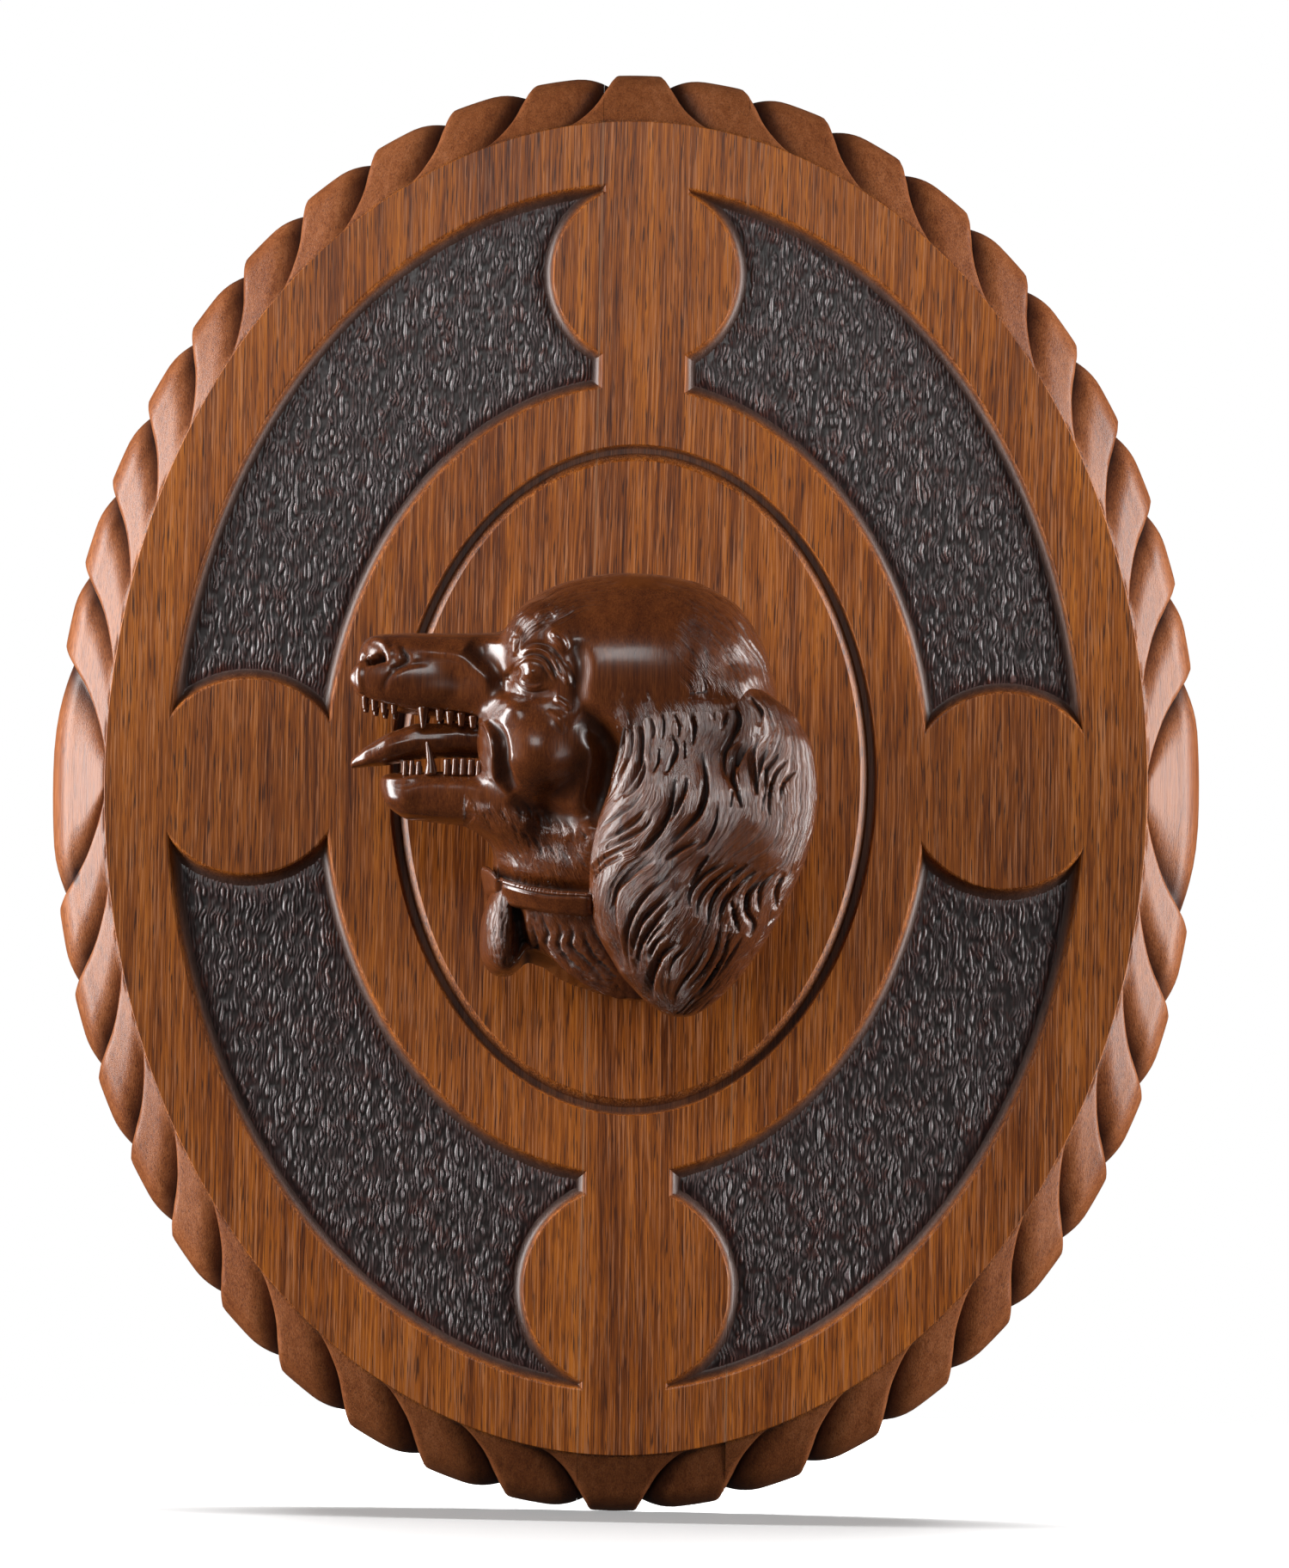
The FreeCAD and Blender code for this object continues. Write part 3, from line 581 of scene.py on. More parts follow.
def mass(across, down, depth, radii, turn=0.0, mirrored=True):
    """An egg-shaped mass seen at a pixel, and its mirror image on the far side. The radii are
    across, front to back and upright, in millimetres."""
    made = []
    place = at_pixel(across, down, depth)
    for side in (1, -1) if mirrored else (1,):
        at = (place.x, MIDDLE_Y + side * (place.y - MIDDLE_Y), place.z)
        bpy.ops.object.select_all(action="DESELECT")
        bpy.ops.mesh.primitive_uv_sphere_add(segments=32, ring_count=20, radius=1, location=at, rotation=(0, turn, 0))
        lump = bpy.context.object
        lump.scale = tuple(radius * MM for radius in radii)
        bpy.ops.object.transform_apply(location=True, rotation=True, scale=True)
        made.append(lump)
    return made


def refine(block, wanted, cuts=1):
    """Divides the faces of a block that a test picks, so that fine strokes have points to move."""
    select_only(block)
    centres = np.empty(len(block.data.polygons) * 3)
    block.data.polygons.foreach_get("center", centres)
    normals = np.empty(len(block.data.polygons) * 3)
    block.data.polygons.foreach_get("normal", normals)
    centres, normals = centres.reshape(-1, 3), normals.reshape(-1, 3)
    pick = wanted(photo_pixels(centres), centres, normals)
    bpy.ops.object.mode_set(mode="EDIT")
    bpy.ops.mesh.select_all(action="DESELECT")
    bpy.ops.object.mode_set(mode="OBJECT")
    block.data.polygons.foreach_set("select", pick)
    bpy.ops.object.mode_set(mode="EDIT")
    bpy.ops.mesh.subdivide(number_cuts=cuts)
    bpy.ops.object.mode_set(mode="OBJECT")


def soften(block, times, factor=0.5, where=None):
    """Evens out the skin, all over or only at the pixels that a test picks."""
    select_only(block)
    change = block.modifiers.new("soften", "SMOOTH")
    change.iterations = times
    change.factor = factor
    if where:
        points = np.empty(len(block.data.vertices) * 3)
        block.data.vertices.foreach_get("co", points)
        part = block.vertex_groups.new(name="part")
        part.add(np.flatnonzero(where(photo_pixels(points.reshape(-1, 3)))).tolist(), 1, "REPLACE")
        change.vertex_group = part.name
    bpy.ops.object.modifier_apply(modifier=change.name)
    block.vertex_groups.clear()


def joined(block, extra, skin):
    """A block with more masses joined to it, remeshed again to an even skin."""
    select_only(block, *extra)
    if extra:
        bpy.ops.object.join()
    block.data.remesh_voxel_size = skin
    bpy.ops.object.voxel_remesh()


# %% [markdown]
# A carving reads the skin's points and their normals, works out at which pixel each point is seen,
# and moves points along their normals. Points behind the head's middle are folded over to the near
# side first, which gives both sides the same face.

# %% The carving tool
def smooth_path(points, steps=8):
    """A smooth path through points, as many short steps."""
    points = np.array(points, float)
    if len(points) < 3:
        return points
    ends = np.vstack((2 * points[0] - points[1], points, 2 * points[-1] - points[-2]))
    part = np.linspace(0, 1, steps, endpoint=False)[:, None]
    curve = []
    for a, b, c, d in zip(ends, ends[1:], ends[2:], ends[3:]):
        curve.append(0.5 * (2 * b + (c - a) * part + (2 * a - 5 * b + 4 * c - d) * part ** 2
                            + (3 * b - a - 3 * c + d) * part ** 3))
    return np.vstack(curve + [points[-1:]])


def near_path(pixels, path):
    """For each pixel: its distance from a path, how far along the path it is, and on which side."""
    starts, ways = path[:-1], np.diff(path, axis=0)
    lengths = np.hypot(*ways.T)
    walked = np.r_[0, np.cumsum(lengths)]
    best = np.full(len(pixels), 1e9)
    along = np.zeros(len(pixels))
    side = np.zeros(len(pixels))
    for start, way, length, done in zip(starts, ways, lengths, walked):
        offset = pixels - start
        part = np.clip(offset @ way / (length ** 2 + 1e-9), 0, 1)
        gap = np.hypot(*(offset - part[:, None] * way).T)
        closer = gap < best
        best[closer] = gap[closer]
        along[closer] = (done + part[closer] * length) / walked[-1]
        side[closer] = np.sign(way[0] * offset[closer, 1] - way[1] * offset[closer, 0])
    return best, along, side


class Carving:
    def __init__(self, block, fold=True):
        self.block = block
        self.fold = fold
        self.read()

    def read(self):
        mesh = self.block.data
        self.points = np.empty(len(mesh.vertices) * 3)
        self.normals = np.empty(len(mesh.vertices) * 3)
        mesh.vertices.foreach_get("co", self.points)
        mesh.vertices.foreach_get("normal", self.normals)
        self.points, self.normals = self.points.reshape(-1, 3), self.normals.reshape(-1, 3)
        folded, self.facing = self.points.copy(), -self.normals[:, 1]
        self.straight = np.zeros_like(self.points)
        self.straight[:, 1] = -1
        if self.fold:
            behind = folded[:, 1] > MIDDLE_Y
            folded[behind, 1] = 2 * MIDDLE_Y - folded[behind, 1]
            self.facing = np.where(behind, -self.facing, self.facing)
            self.straight[behind, 1] = 1
        self.seen = photo_pixels(folded)
        self.depth = -folded[:, 1]

    def write(self):
        self.block.data.vertices.foreach_set("co", self.points.ravel())
        self.block.data.update()
        self.read()

    def stroke(self, path, width, height, tip=0.25, shape="round", facing=(-0.1, 0.35), straight=False):
        """Raises the skin along a path, or cuts it if the height is below 0. The stroke tapers
        over the share tip at both ends. A gouge slopes down on the left of a path that runs down,
        and has a steep wall on its right. A straight stroke moves the skin square to the wall."""
        path = smooth_path(path) if len(path) > 1 else np.array((path[0], (path[0][0] + 0.01, path[0][1])), float)
        low, high = path.min(0) - width * 1.6, path.max(0) + width * 1.6
        near = np.flatnonzero(((self.seen > low) & (self.seen < high)).all(1))
        if not len(near):
            return
        gap, along, side = near_path(self.seen[near], path)
        reach = gap / width
        if shape == "round":
            amount = np.where(reach < 1, (1 + np.cos(np.pi * np.clip(reach, 0, 1))) / 2, 0)
        elif shape == "groove":
            amount = np.clip(1 - reach, 0, 1) ** 1.3
        elif shape == "gouge":
            amount = np.where(side > 0, np.clip(1 - reach, 0, 1) ** 1.5, np.clip(1 - reach / 0.32, 0, 1))
        else:
            amount = np.clip((1 - reach) * 3, 0, 1)
            amount = amount * amount * (3 - 2 * amount)
        if tip > 0 and len(path) > 2:
            amount = amount * np.clip(along / tip, 0, 1) ** 0.7 * np.clip((1 - along) / tip, 0, 1) ** 0.7
        amount = amount * np.clip((self.facing[near] - facing[0]) / (facing[1] - facing[0]), 0, 1)
        ways = self.straight if straight else self.normals
        self.points[near] += ways[near] * (amount * height * MM)[:, None]

    def round(self, centre, radii, height, turn=0.0, facing=(-0.1, 0.35)):
        """Raises or hollows an oval patch of the skin, square to the wall."""
        cosine, sine = math.cos(math.radians(turn)), math.sin(math.radians(turn))
        offset = self.seen - centre
        across = (offset[:, 0] * cosine + offset[:, 1] * sine) / radii[0]
        down = (offset[:, 1] * cosine - offset[:, 0] * sine) / radii[1]
        reach = np.clip(np.hypot(across, down), 0, 1)
        amount = (1 + np.cos(np.pi * reach)) / 2 * np.clip((self.facing - facing[0]) / (facing[1] - facing[0]), 0, 1)
        self.points += self.straight * (amount * height * MM)[:, None]


# %% [markdown]
# Hair follows guide lines. Between two guides every strand takes its share of both, so strands
# crowd where the guides come together. A strand is a cut with one steep and one sloping side that
# comes and goes along its length, as a gouge leaves it.

# %% Hair that follows guide lines
def hair_flow(pixels, guides):
    """For each pixel, the number of the strand line it lies on, and how far along it is."""
    gaps, places, sides = np.array([near_path(pixels, smooth_path(guide, 5)) for guide in guides]).transpose(1, 2, 0)
    outside = (sides[:, :-1] > 0) == (sides[:, 1:] > 0)
    pair = np.argmin(gaps[:, :-1] + gaps[:, 1:] + 10000 * outside, axis=1)
    every = np.arange(len(pixels))
    first, second = gaps[every, pair], gaps[every, pair + 1]
    part = first / (first + second + 1e-9)
    return pair + part, places[every, pair] * (1 - part) + places[every, pair + 1] * part


def scatter(number, seed):
    """A repeatable random share for each whole number."""
    value = np.sin(number * 12.9898 + seed * 78.233) * 43758.5453
    return value - np.floor(value)


def strand_cuts(across, along, per_gap, seed, steep=0.14, slope=2.2, gaps=0.35):
    """How deep the gouge is at each place, from 0 to 1."""
    line = across * per_gap
    number = np.floor(line)
    place = line - number
    first, second = scatter(number, seed), scatter(number, seed + 1)
    wave = np.sin(2 * np.pi * (along * (1.1 + 1.6 * first) + second))
    there = np.clip(wave * 1.5 + 1 - 2 * gaps, 0, 1) * (0.55 + 0.45 * scatter(number, seed + 2))
    rise = np.clip(place / steep, 0, 1)
    return rise * rise * (3 - 2 * rise) * (1 - place) ** slope * there


def waver(pixels, size, seed):
    """A slow, repeatable wandering between -1 and 1 over the photo."""
    total = np.zeros(len(pixels))
    for index in range(4):
        angle = 2 * np.pi * scatter(index, seed)
        way = np.array((math.cos(angle), math.sin(angle))) / size * (0.7 + 0.6 * scatter(index, seed + 5))
        total += np.sin(2 * np.pi * (pixels @ way + scatter(index, seed + 9)))
    return total / 4


def move_to(carving, picked, pixels):
    """Moves points so that they are seen at other pixels, at the depth they have."""
    for index, (across, down) in zip(picked, pixels):
        place = at_pixel(across, down, carving.depth[index])
        if carving.straight[index, 1] > 0:
            place.y = 2 * MIDDLE_Y - place.y
        carving.points[index] = place


def settle(block, name, nodes):
    """Gives a finished carving its name and its body, and hides the nodes it stands for."""
    block.name = name
    select_only(block)
    bpy.ops.object.shade_smooth()
    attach(block, "root")
    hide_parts(*nodes)
    print(name, "has", sum(len(face.vertices) - 2 for face in block.data.polygons), "triangles")
    return block


# %% [markdown]
# ### Skull, jaws and neck
#
# The large rounds come first: brow, cheek and eyeball stand out, and the hollows in front of the
# eye and in front of the ear go in deep, because they hold the darkest shade in the photo.

# %% Rough out the head
def behind_the_snout(pixels):
    return (pixels[:, 0] > 590) | ((pixels[:, 0] > 560) & (pixels[:, 1] > 900))


hound = carving_block("hound_head", ("skull", "neck", "lower_jaw"), 1.5 * MM, grown=0.6 * MM)
soften(hound, 8)
soften(hound, 70, where=behind_the_snout)
joined(hound, mass(617, 786, 0.1190, (9, 7, 6.5)) + mass(500, 790, 0.108, (34, 8, 13)), 1.6 * MM)
soften(hound, 8)
soften(hound, 20, where=behind_the_snout)
print("the even skin has", len(hound.data.polygons), "faces")


def near_face(pixels, centres, normals):
    under_the_ear = (pixels[:, 0] > 722) & (pixels[:, 1] > 850)
    seen = (normals[:, 1] < 0.1) & (centres[:, 1] < MIDDLE_Y + 0.004)
    return seen & ~under_the_ear & (pixels[:, 1] < 1180)


refine(hound, near_face)
soften(hound, 6)
soften(hound, 24, where=behind_the_snout)
head = Carving(hound)
for centre, radii, height, turn in (
    ((660, 760), (110, 90), 0.8, 0),       # the whole skull, let out again after softening
    ((760, 740), (150, 90), 0.8, 0),
    ((628, 885), (62, 64), 3.6, 0),        # cheek
    ((597, 822), (23, 21), 2.4, 0),        # pad under the eye
    ((655, 836), (20, 15), 1.6, 0),        # cheek bone
    ((617, 785), (21, 14), 1.8, -10),      # eyeball
    ((600, 745), (15, 21), 2.4, 0),        # brow over the stop
    ((650, 743), (16, 23), 2.6, -25),      # tuft of the brow
    ((628, 720), (27, 14), 1.7, -20),
    ((520, 812), (70, 24), 1.2, 0),        # upper lip
    ((462, 930), (30, 22), 1.4, 0),        # chin
    ((577, 1085), (17, 40), 1.0, 0),       # tuft under the collar
    ((584, 1118), (26, 20), -4.0, 0),      # and its thin lower end
    ((870, 806), (48, 42), 5.0, 0),        # back of the skull, where the ear grows out
):
    head.round(centre, radii, height, turn)
for path, width, height in (
    (((545, 748), (568, 764), (585, 784), (587, 812)), 24, -4.6),        # in front of the eye
    (((591, 790), (599, 780), (604, 776)), 9, -2.6),                     # inner corner of the eye
    (((672, 835), (692, 846), (708, 870), (708, 900), (700, 930), (690, 962)), 28, -8.5),
    (((596, 924), (622, 942), (650, 951), (684, 955)), 20, -3.2),        # under the cheek
    (((668, 745), (677, 775), (673, 805), (680, 830)), 16, -1.8),        # behind the brow
    (((585, 803), (603, 808), (625, 809), (648, 806)), 9, -1.8),         # under the eye
    (((610, 965), (640, 980), (680, 990)), 26, -2.0),
    (((566, 1000), (586, 1018), (617, 1028), (650, 1033), (700, 1037)), 13, -3.6),       # above the collar
    (((600, 1046), (605, 1080), (613, 1132)), 11, -8.0),                 # between tuft and neck
):
    head.stroke(path, width, height, straight=True)
head.write()
soften(hound, 4)

# Draw the underside of the neck up into the line of sight, where the photo has its lower edge
neck = Carving(hound, fold=False)
foot = np.flatnonzero((neck.seen[:, 1] > 1060) & (neck.seen[:, 0] < 790))
across, down = neck.seen[foot].T
farther = np.clip((neck.depth[foot] - 0.050) / 0.050, 0, 1) ** 3
reaches = np.interp(across, (560, 590, 620, 650, 680, 745), (1118, 1143, 1146, 1157, 1170, 1175))
reaches += farther * (1098 - reaches)
wanted = np.interp(across, (560, 592, 604, 612, 620, 650, 680, 745), (1128, 1136, 1128, 1118, 1122, 1139, 1148, 1163))
move_to(neck, foot, np.column_stack((across, 1060 + (down - 1060) * (wanted - 1060) / (reaches - 1060))))
neck.write()
soften(hound, 3)


def round_the_eye(pixels, centres, normals):
    return near_face(pixels, centres, normals) & (np.abs(pixels[:, 0] - 626) < 46) & (np.abs(pixels[:, 1] - 772) < 62)


refine(hound, round_the_eye)
soften(hound, 4)
head.read()
print("roughed out", len(hound.data.vertices), "points")
# %% [markdown]
# The fine strokes follow the folds of the face: nostril, lips, lids and brow. A groove beside a
# ridge reads as one fold lying over another.

# %% Carve the face
LIP_FOLD = ((556, 838), (566, 843), (574, 858), (577, 876), (577, 893), (581, 908), (592, 922))
for path, width, height, shape in (
    (((436, 762), (438, 768), (439, 772)), 12, -6.0, "flat"),            # nostril
    (((425, 752), (432, 744), (444, 746), (453, 760), (456, 776)), 7, 0.7, "round"),
    (((466, 752), (473, 762), (475, 768), (466, 774), (452, 779)), 5, -1.0, "groove"),
    (((456, 752), (464, 760), (462, 770)), 9, 0.8, "round"),             # wing of the nose
    (((447, 806), (449, 794), (458, 782), (480, 772), (502, 771)), 6, -0.7, "groove"),
    (((480, 754), (500, 758), (530, 762), (556, 772)), 9, 0.7, "round"),
    (((424, 745), (418, 775), (419, 805), (424, 826)), 7, 0.6, "round"),
    (((430, 826), (455, 830), (480, 836), (505, 842), (535, 844), (560, 842)), 6, 0.9, "round"),
    (((470, 822), (500, 830), (540, 834), (566, 832)), 7, -0.5, "groove"),
    (LIP_FOLD, 6, 2.6, "round"),
    (((569, 838), (581, 850), (586, 868), (587, 888), (592, 905), (602, 920)), 9, -2.6, "round"),
    (((443, 905), (468, 907), (496, 901), (540, 899), (562, 903), (577, 908)), 4.5, 0.7, "round"),
    (((443, 912), (470, 914), (500, 908), (540, 906), (566, 911)), 5, -0.4, "round"),
    (((599, 780), (606, 770), (617, 766), (630, 769), (638, 779), (647, 793)), 4, 0.8, "round"),
    (((602, 789), (611, 797), (622, 799), (632, 796)), 3.2, 0.6, "round"),
    (((598, 791), (609, 803), (623, 806), (640, 802)), 3.2, -0.6, "groove"),
    (((606, 762), (616, 756), (630, 756), (641, 764), (650, 780), (661, 797)), 4, 0.8, "round"),
    (((604, 767), (616, 761), (629, 762), (639, 770), (648, 786)), 3, -0.6, "groove"),
    (((611, 752), (624, 748), (640, 752), (651, 764), (659, 782)), 4, -0.7, "groove"),
    (((640, 735), (652, 744), (660, 756)), 7, 1.3, "round"),
    (((648, 764), (655, 776), (662, 796)), 5, 0.9, "round"),
    (((660, 770), (666, 785), (668, 800)), 4, -0.5, "groove"),
    (((622, 716), (636, 712), (646, 718)), 6, 1.0, "round"),
    (((600, 740), (598, 752), (600, 764)), 6, 0.9, "round"),
    (((645, 812), (655, 818), (664, 826)), 6, 1.0, "round"),
    (((637, 826), (650, 836), (656, 852)), 5, 0.5, "round"),
):
    head.stroke(path, width, height, shape=shape)
head.write()
soften(hound, 1, 0.3)

# %% [markdown]
# Short fine hair combs back from the stop over the crown, and turns down behind towards the ear.

# %% Comb the hair of the skull
CROWN_GUIDES = (
    ((580, 740), (600, 706), (640, 682), (700, 665), (770, 663), (832, 680), (876, 714), (900, 762), (908, 803)),
    ((598, 744), (618, 716), (658, 692), (715, 680), (775, 682), (828, 704), (864, 742), (887, 780), (900, 812)),
    ((612, 746), (636, 724), (672, 704), (722, 696), (776, 702), (820, 730), (850, 762), (872, 800), (888, 825)),
    ((640, 747), (668, 730), (700, 720), (740, 718), (782, 728), (814, 752), (834, 784), (852, 815), (862, 838)),
    ((665, 767), (695, 750), (730, 743), (765, 750), (792, 774), (808, 803), (818, 838)),
    ((678, 792), (705, 775), (735, 773), (760, 793), (772, 832)),
)
THROAT_MARKS = (
    ((598, 934), (606, 944), (608, 958)), ((608, 930), (617, 942), (620, 958)), ((621, 940), (629, 951), (630, 966)),
    ((633, 946), (641, 957), (643, 972)), ((646, 950), (654, 962), (655, 977)), ((660, 955), (667, 966), (668, 980)),
    ((604, 964), (614, 974), (620, 990)), ((618, 972), (628, 982), (633, 998)), ((634, 980), (644, 989), (650, 1004)),
    ((650, 986), (660, 995), (666, 1009)), ((668, 988), (676, 997), (682, 1010)), ((590, 952), (600, 963), (604, 978)),
    ((580, 940), (588, 950), (592, 962)), ((674, 962), (681, 972), (683, 985)),
)
TUFT_GUIDES = (
    ((562, 1040), (557, 1085), (563, 1135)),
    ((575, 1040), (570, 1090), (578, 1138)),
    ((588, 1042), (584, 1095), (590, 1138)),
    ((602, 1045), (602, 1095), (600, 1138)),
)
NECK_GUIDES = (
    ((606, 1055), (616, 1095), (650, 1135), (700, 1165)),
    ((625, 1055), (645, 1092), (688, 1130), (740, 1165)),
    ((650, 1055), (678, 1088), (720, 1120), (755, 1145)),
    ((680, 1055), (706, 1080), (740, 1105), (760, 1115)),
)


THROAT_GUIDES = (
    ((545, 925), (562, 965), (580, 1008)), ((590, 935), (612, 975), (636, 1022)),
    ((635, 945), (660, 985), (690, 1030)), ((690, 950), (704, 990), (722, 1034)),
)
NECK_WAVES = (
    ((350, 440), (372, 520), (392, 600), (440, 660)), ((400, 430), (432, 500), (420, 560), (470, 630), (540, 690)),
    ((470, 430), (492, 500), (480, 560), (520, 620), (590, 680), (640, 720)),
    ((520, 430), (547, 500), (540, 560), (600, 620), (660, 680), (700, 740)),
    ((600, 480), (610, 540), (640, 600), (700, 660), (760, 720)), ((620, 430), (660, 520), (720, 600), (770, 680)),
)


def from_crop(points, origin=(660, 760), scale=4):
    return [(origin[0] + across / scale, origin[1] + down / scale) for across, down in points]


def comb(carving, guides, area, per_gap, height, seed, gaps=0.4):
    """Cuts strands along guides, where an area from 0 to 1 allows it, and notes how the hair lies."""
    there = area(carving.seen) * np.clip((carving.facing + 0.1) / 0.4, 0, 1)
    picked = np.flatnonzero(there > 0)
    pixels = carving.seen[picked]
    across, along = hair_flow(pixels, guides)
    across = across + 0.22 * waver(pixels, 60, seed) + 0.08 * waver(pixels, 24, seed + 1)
    cut = strand_cuts(across, along, per_gap, seed, gaps=gaps) + 0.4 * strand_cuts(across, along, per_gap * 2.3, seed + 7, gaps=gaps)
    carving.points[picked] -= carving.normals[picked] * (cut * there[picked] * height * MM)[:, None]
    note_hair(carving, picked, across + seed, along, there[picked])


def note_hair(carving, picked, across, along, there):
    """Notes how the hair lies, and no fine lines where one lay of hair gives way to another."""
    lay, places, combed = getattr(carving, "hair", np.zeros((3, len(carving.points))))
    before = combed[picked]
    wins = there > before
    lay[picked[wins]], places[picked[wins]] = across[wins], along[wins]
    combed[picked] = np.abs(there - before)
    carving.hair = np.array((lay, places, combed))


def ramped(values, low, high):
    part = np.clip((values - low) / (high - low), 0, 1)
    return part * part * (3 - 2 * part)


def on_crown(pixels):
    across, down = pixels.T
    front = ramped(across, 582, 592) * ramped(-across, -740, -680) * ramped(-down - 0.45 * across, -1035, -1005)
    back = ramped(across, 775, 815) * ramped(828 - down, 0, 30)
    return np.maximum(front * 0.6, back)


def on_tuft(pixels):
    across, down = pixels.T
    return ramped(down, 1032, 1044) * ramped(606 - across, 0, 6) * (across > 540)


def on_neck(pixels):
    across, down = pixels.T
    return ramped(down, 1058, 1068) * ramped(across, 606, 618) * ramped(800 - across, 0, 20)


def on_throat(pixels):
    across, down = pixels.T
    return ramped(down - 0.25 * (across - 560), 925, 945) * ramped(1040 - down, 0, 12) * (across > 540) * (across < 730)


comb(head, CROWN_GUIDES, on_crown, 4.2, 0.9, 41, 0.2)
comb(head, THROAT_GUIDES, on_throat, 4.0, 0.5, 51, 0.3)
for mark in THROAT_MARKS:
    head.stroke(mark, 3.6, -0.7, tip=0.5, shape="gouge")
comb(head, TUFT_GUIDES, on_tuft, 3.0, 1.3, 61, 0.15)
comb(head, NECK_GUIDES, on_neck, 3.4, 0.8, 71, 0.25)
for mark in NECK_WAVES:
    head.stroke(from_crop(mark, (530, 960)), 5.5, -1.5, tip=0.4, shape="gouge")
head.write()

# %% [markdown]
# ### The ears
#
# The upper end of the near ear is drawn down onto the skull, so that the hair runs from one to the
# other without an edge. Its locks are gouge cuts traced from the photo, one by one, over a ground
# of finer strands.

# %% Lay the ear on the skull
ear_block = carving_block("near_ear_hair", ("near_ear",), 1.3 * MM)
soften(ear_block, 45)
joined(ear_block, [], 1.04 * MM)


def near_side(pixels, centres, normals):
    return normals[:, 1] < -0.15


refine(ear_block, near_side)
soften(ear_block, 4)
ear = Carving(ear_block, fold=False)


def lay_on(carving, ground, share, lift):
    """Draws points down onto another skin along the line of sight, by a share for each point."""
    surface = BVHTree.FromObject(ground, bpy.context.evaluated_depsgraph_get())
    for index in np.flatnonzero(share > 0):
        point = Vector(carving.points[index])
        way = (point - eye).normalized()
        hit = surface.ray_cast(eye, way)[0]
        if hit is not None:
            aim = hit - way * lift[index]
            carving.points[index] = point.lerp(aim, share[index])


across, down = ear.seen.T
down = down - 0.6 * np.clip(765 - across, 0, None)        # rounds the corner in front
free_from = 866 + 70 * ramped(across, 720, 790)
root = (1 - ramped(down, 816, free_from)) * (1 - ramped(across, 845, 908)) * ramped(ear.facing, -0.6, -0.2)
lay_on(ear, hound, root, -0.0012 + 0.0018 * ramped(down, 808, 846))
ear.write()
soften(ear_block, 3)
ear.read()
print("the ear's skin has", len(ear_block.data.polygons), "faces")


# %% Carve the locks of the near ear
EAR_GUIDES = [from_crop(guide) for guide in (
    ((190, 230), (232, 330), (210, 470), (165, 620), (118, 780), (92, 950), (84, 1080), (92, 1210), (150, 1360), (230, 1490), (330, 1610), (420, 1670)),
    ((270, 210), (322, 280), (345, 380), (345, 480), (318, 590), (250, 700), (170, 810), (122, 920), (104, 1030), (103, 1120), (120, 1230), (172, 1360), (252, 1490), (340, 1600), (430, 1665)),
    ((390, 230), (430, 330), (435, 430), (425, 520), (385, 620), (320, 720), (255, 810), (190, 900), (150, 990), (128, 1080), (132, 1190), (185, 1340), (258, 1470), (345, 1590), (436, 1660)),
    ((470, 180), (520, 280), (520, 370), (500, 470), (490, 580), (480, 700), (436, 820), (360, 920), (270, 995), (195, 1080), (165, 1200), (205, 1340), (275, 1470), (355, 1590), (442, 1655)),
    ((540, 170), (585, 270), (590, 370), (565, 470), (555, 570), (548, 660), (505, 760), (450, 860), (390, 945), (305, 1025), (235, 1100), (205, 1210), (235, 1340), (292, 1465), (365, 1590), (448, 1650)),
    ((610, 170), (650, 270), (655, 370), (640, 470), (648, 590), (622, 740), (560, 840), (490, 925), (415, 1015), (325, 1100), (268, 1200), (272, 1320), (315, 1450), (378, 1580), (455, 1645)),
    ((680, 170), (720, 270), (725, 370), (695, 470), (700, 590), (702, 710), (680, 800), (610, 900), (505, 990), (420, 1085), (342, 1185), (312, 1300), (335, 1430), (390, 1570), (462, 1642)),
    ((750, 170), (790, 270), (785, 370), (745, 460), (752, 560), (768, 680), (742, 800), (668, 920), (585, 1030), (490, 1130), (402, 1240), (355, 1350), (358, 1450), (400, 1570), (468, 1640)),
    ((820, 170), (860, 260), (865, 360), (830, 470), (826, 580), (830, 680), (800, 780), (735, 880), (665, 960), (600, 1045), (540, 1140), (470, 1260), (405, 1390), (392, 1500), (415, 1590), (475, 1640)),
    ((890, 180), (935, 280), (945, 390), (900, 480), (882, 600), (905, 760), (862, 860), (765, 950), (685, 1030), (640, 1125), (610, 1230), (560, 1330), (500, 1450), (460, 1560), (482, 1640)),
    ((940, 180), (990, 290), (1012, 400), (985, 560), (985, 700), (955, 850), (880, 950), (785, 1030), (722, 1120), (695, 1230), (670, 1330), (615, 1440), (555, 1550), (500, 1645)),
    ((975, 190), (1040, 320), (1080, 480), (1088, 640), (1065, 800), (1010, 930), (932, 1040), (862, 1130), (802, 1240), (750, 1370), (685, 1480), (600, 1590), (525, 1660)),
    ((1000, 190), (1085, 310), (1142, 470), (1160, 650), (1142, 800), (1092, 930), (1042, 1080), (962, 1220), (880, 1350), (780, 1480), (680, 1590), (560, 1680)),
)]

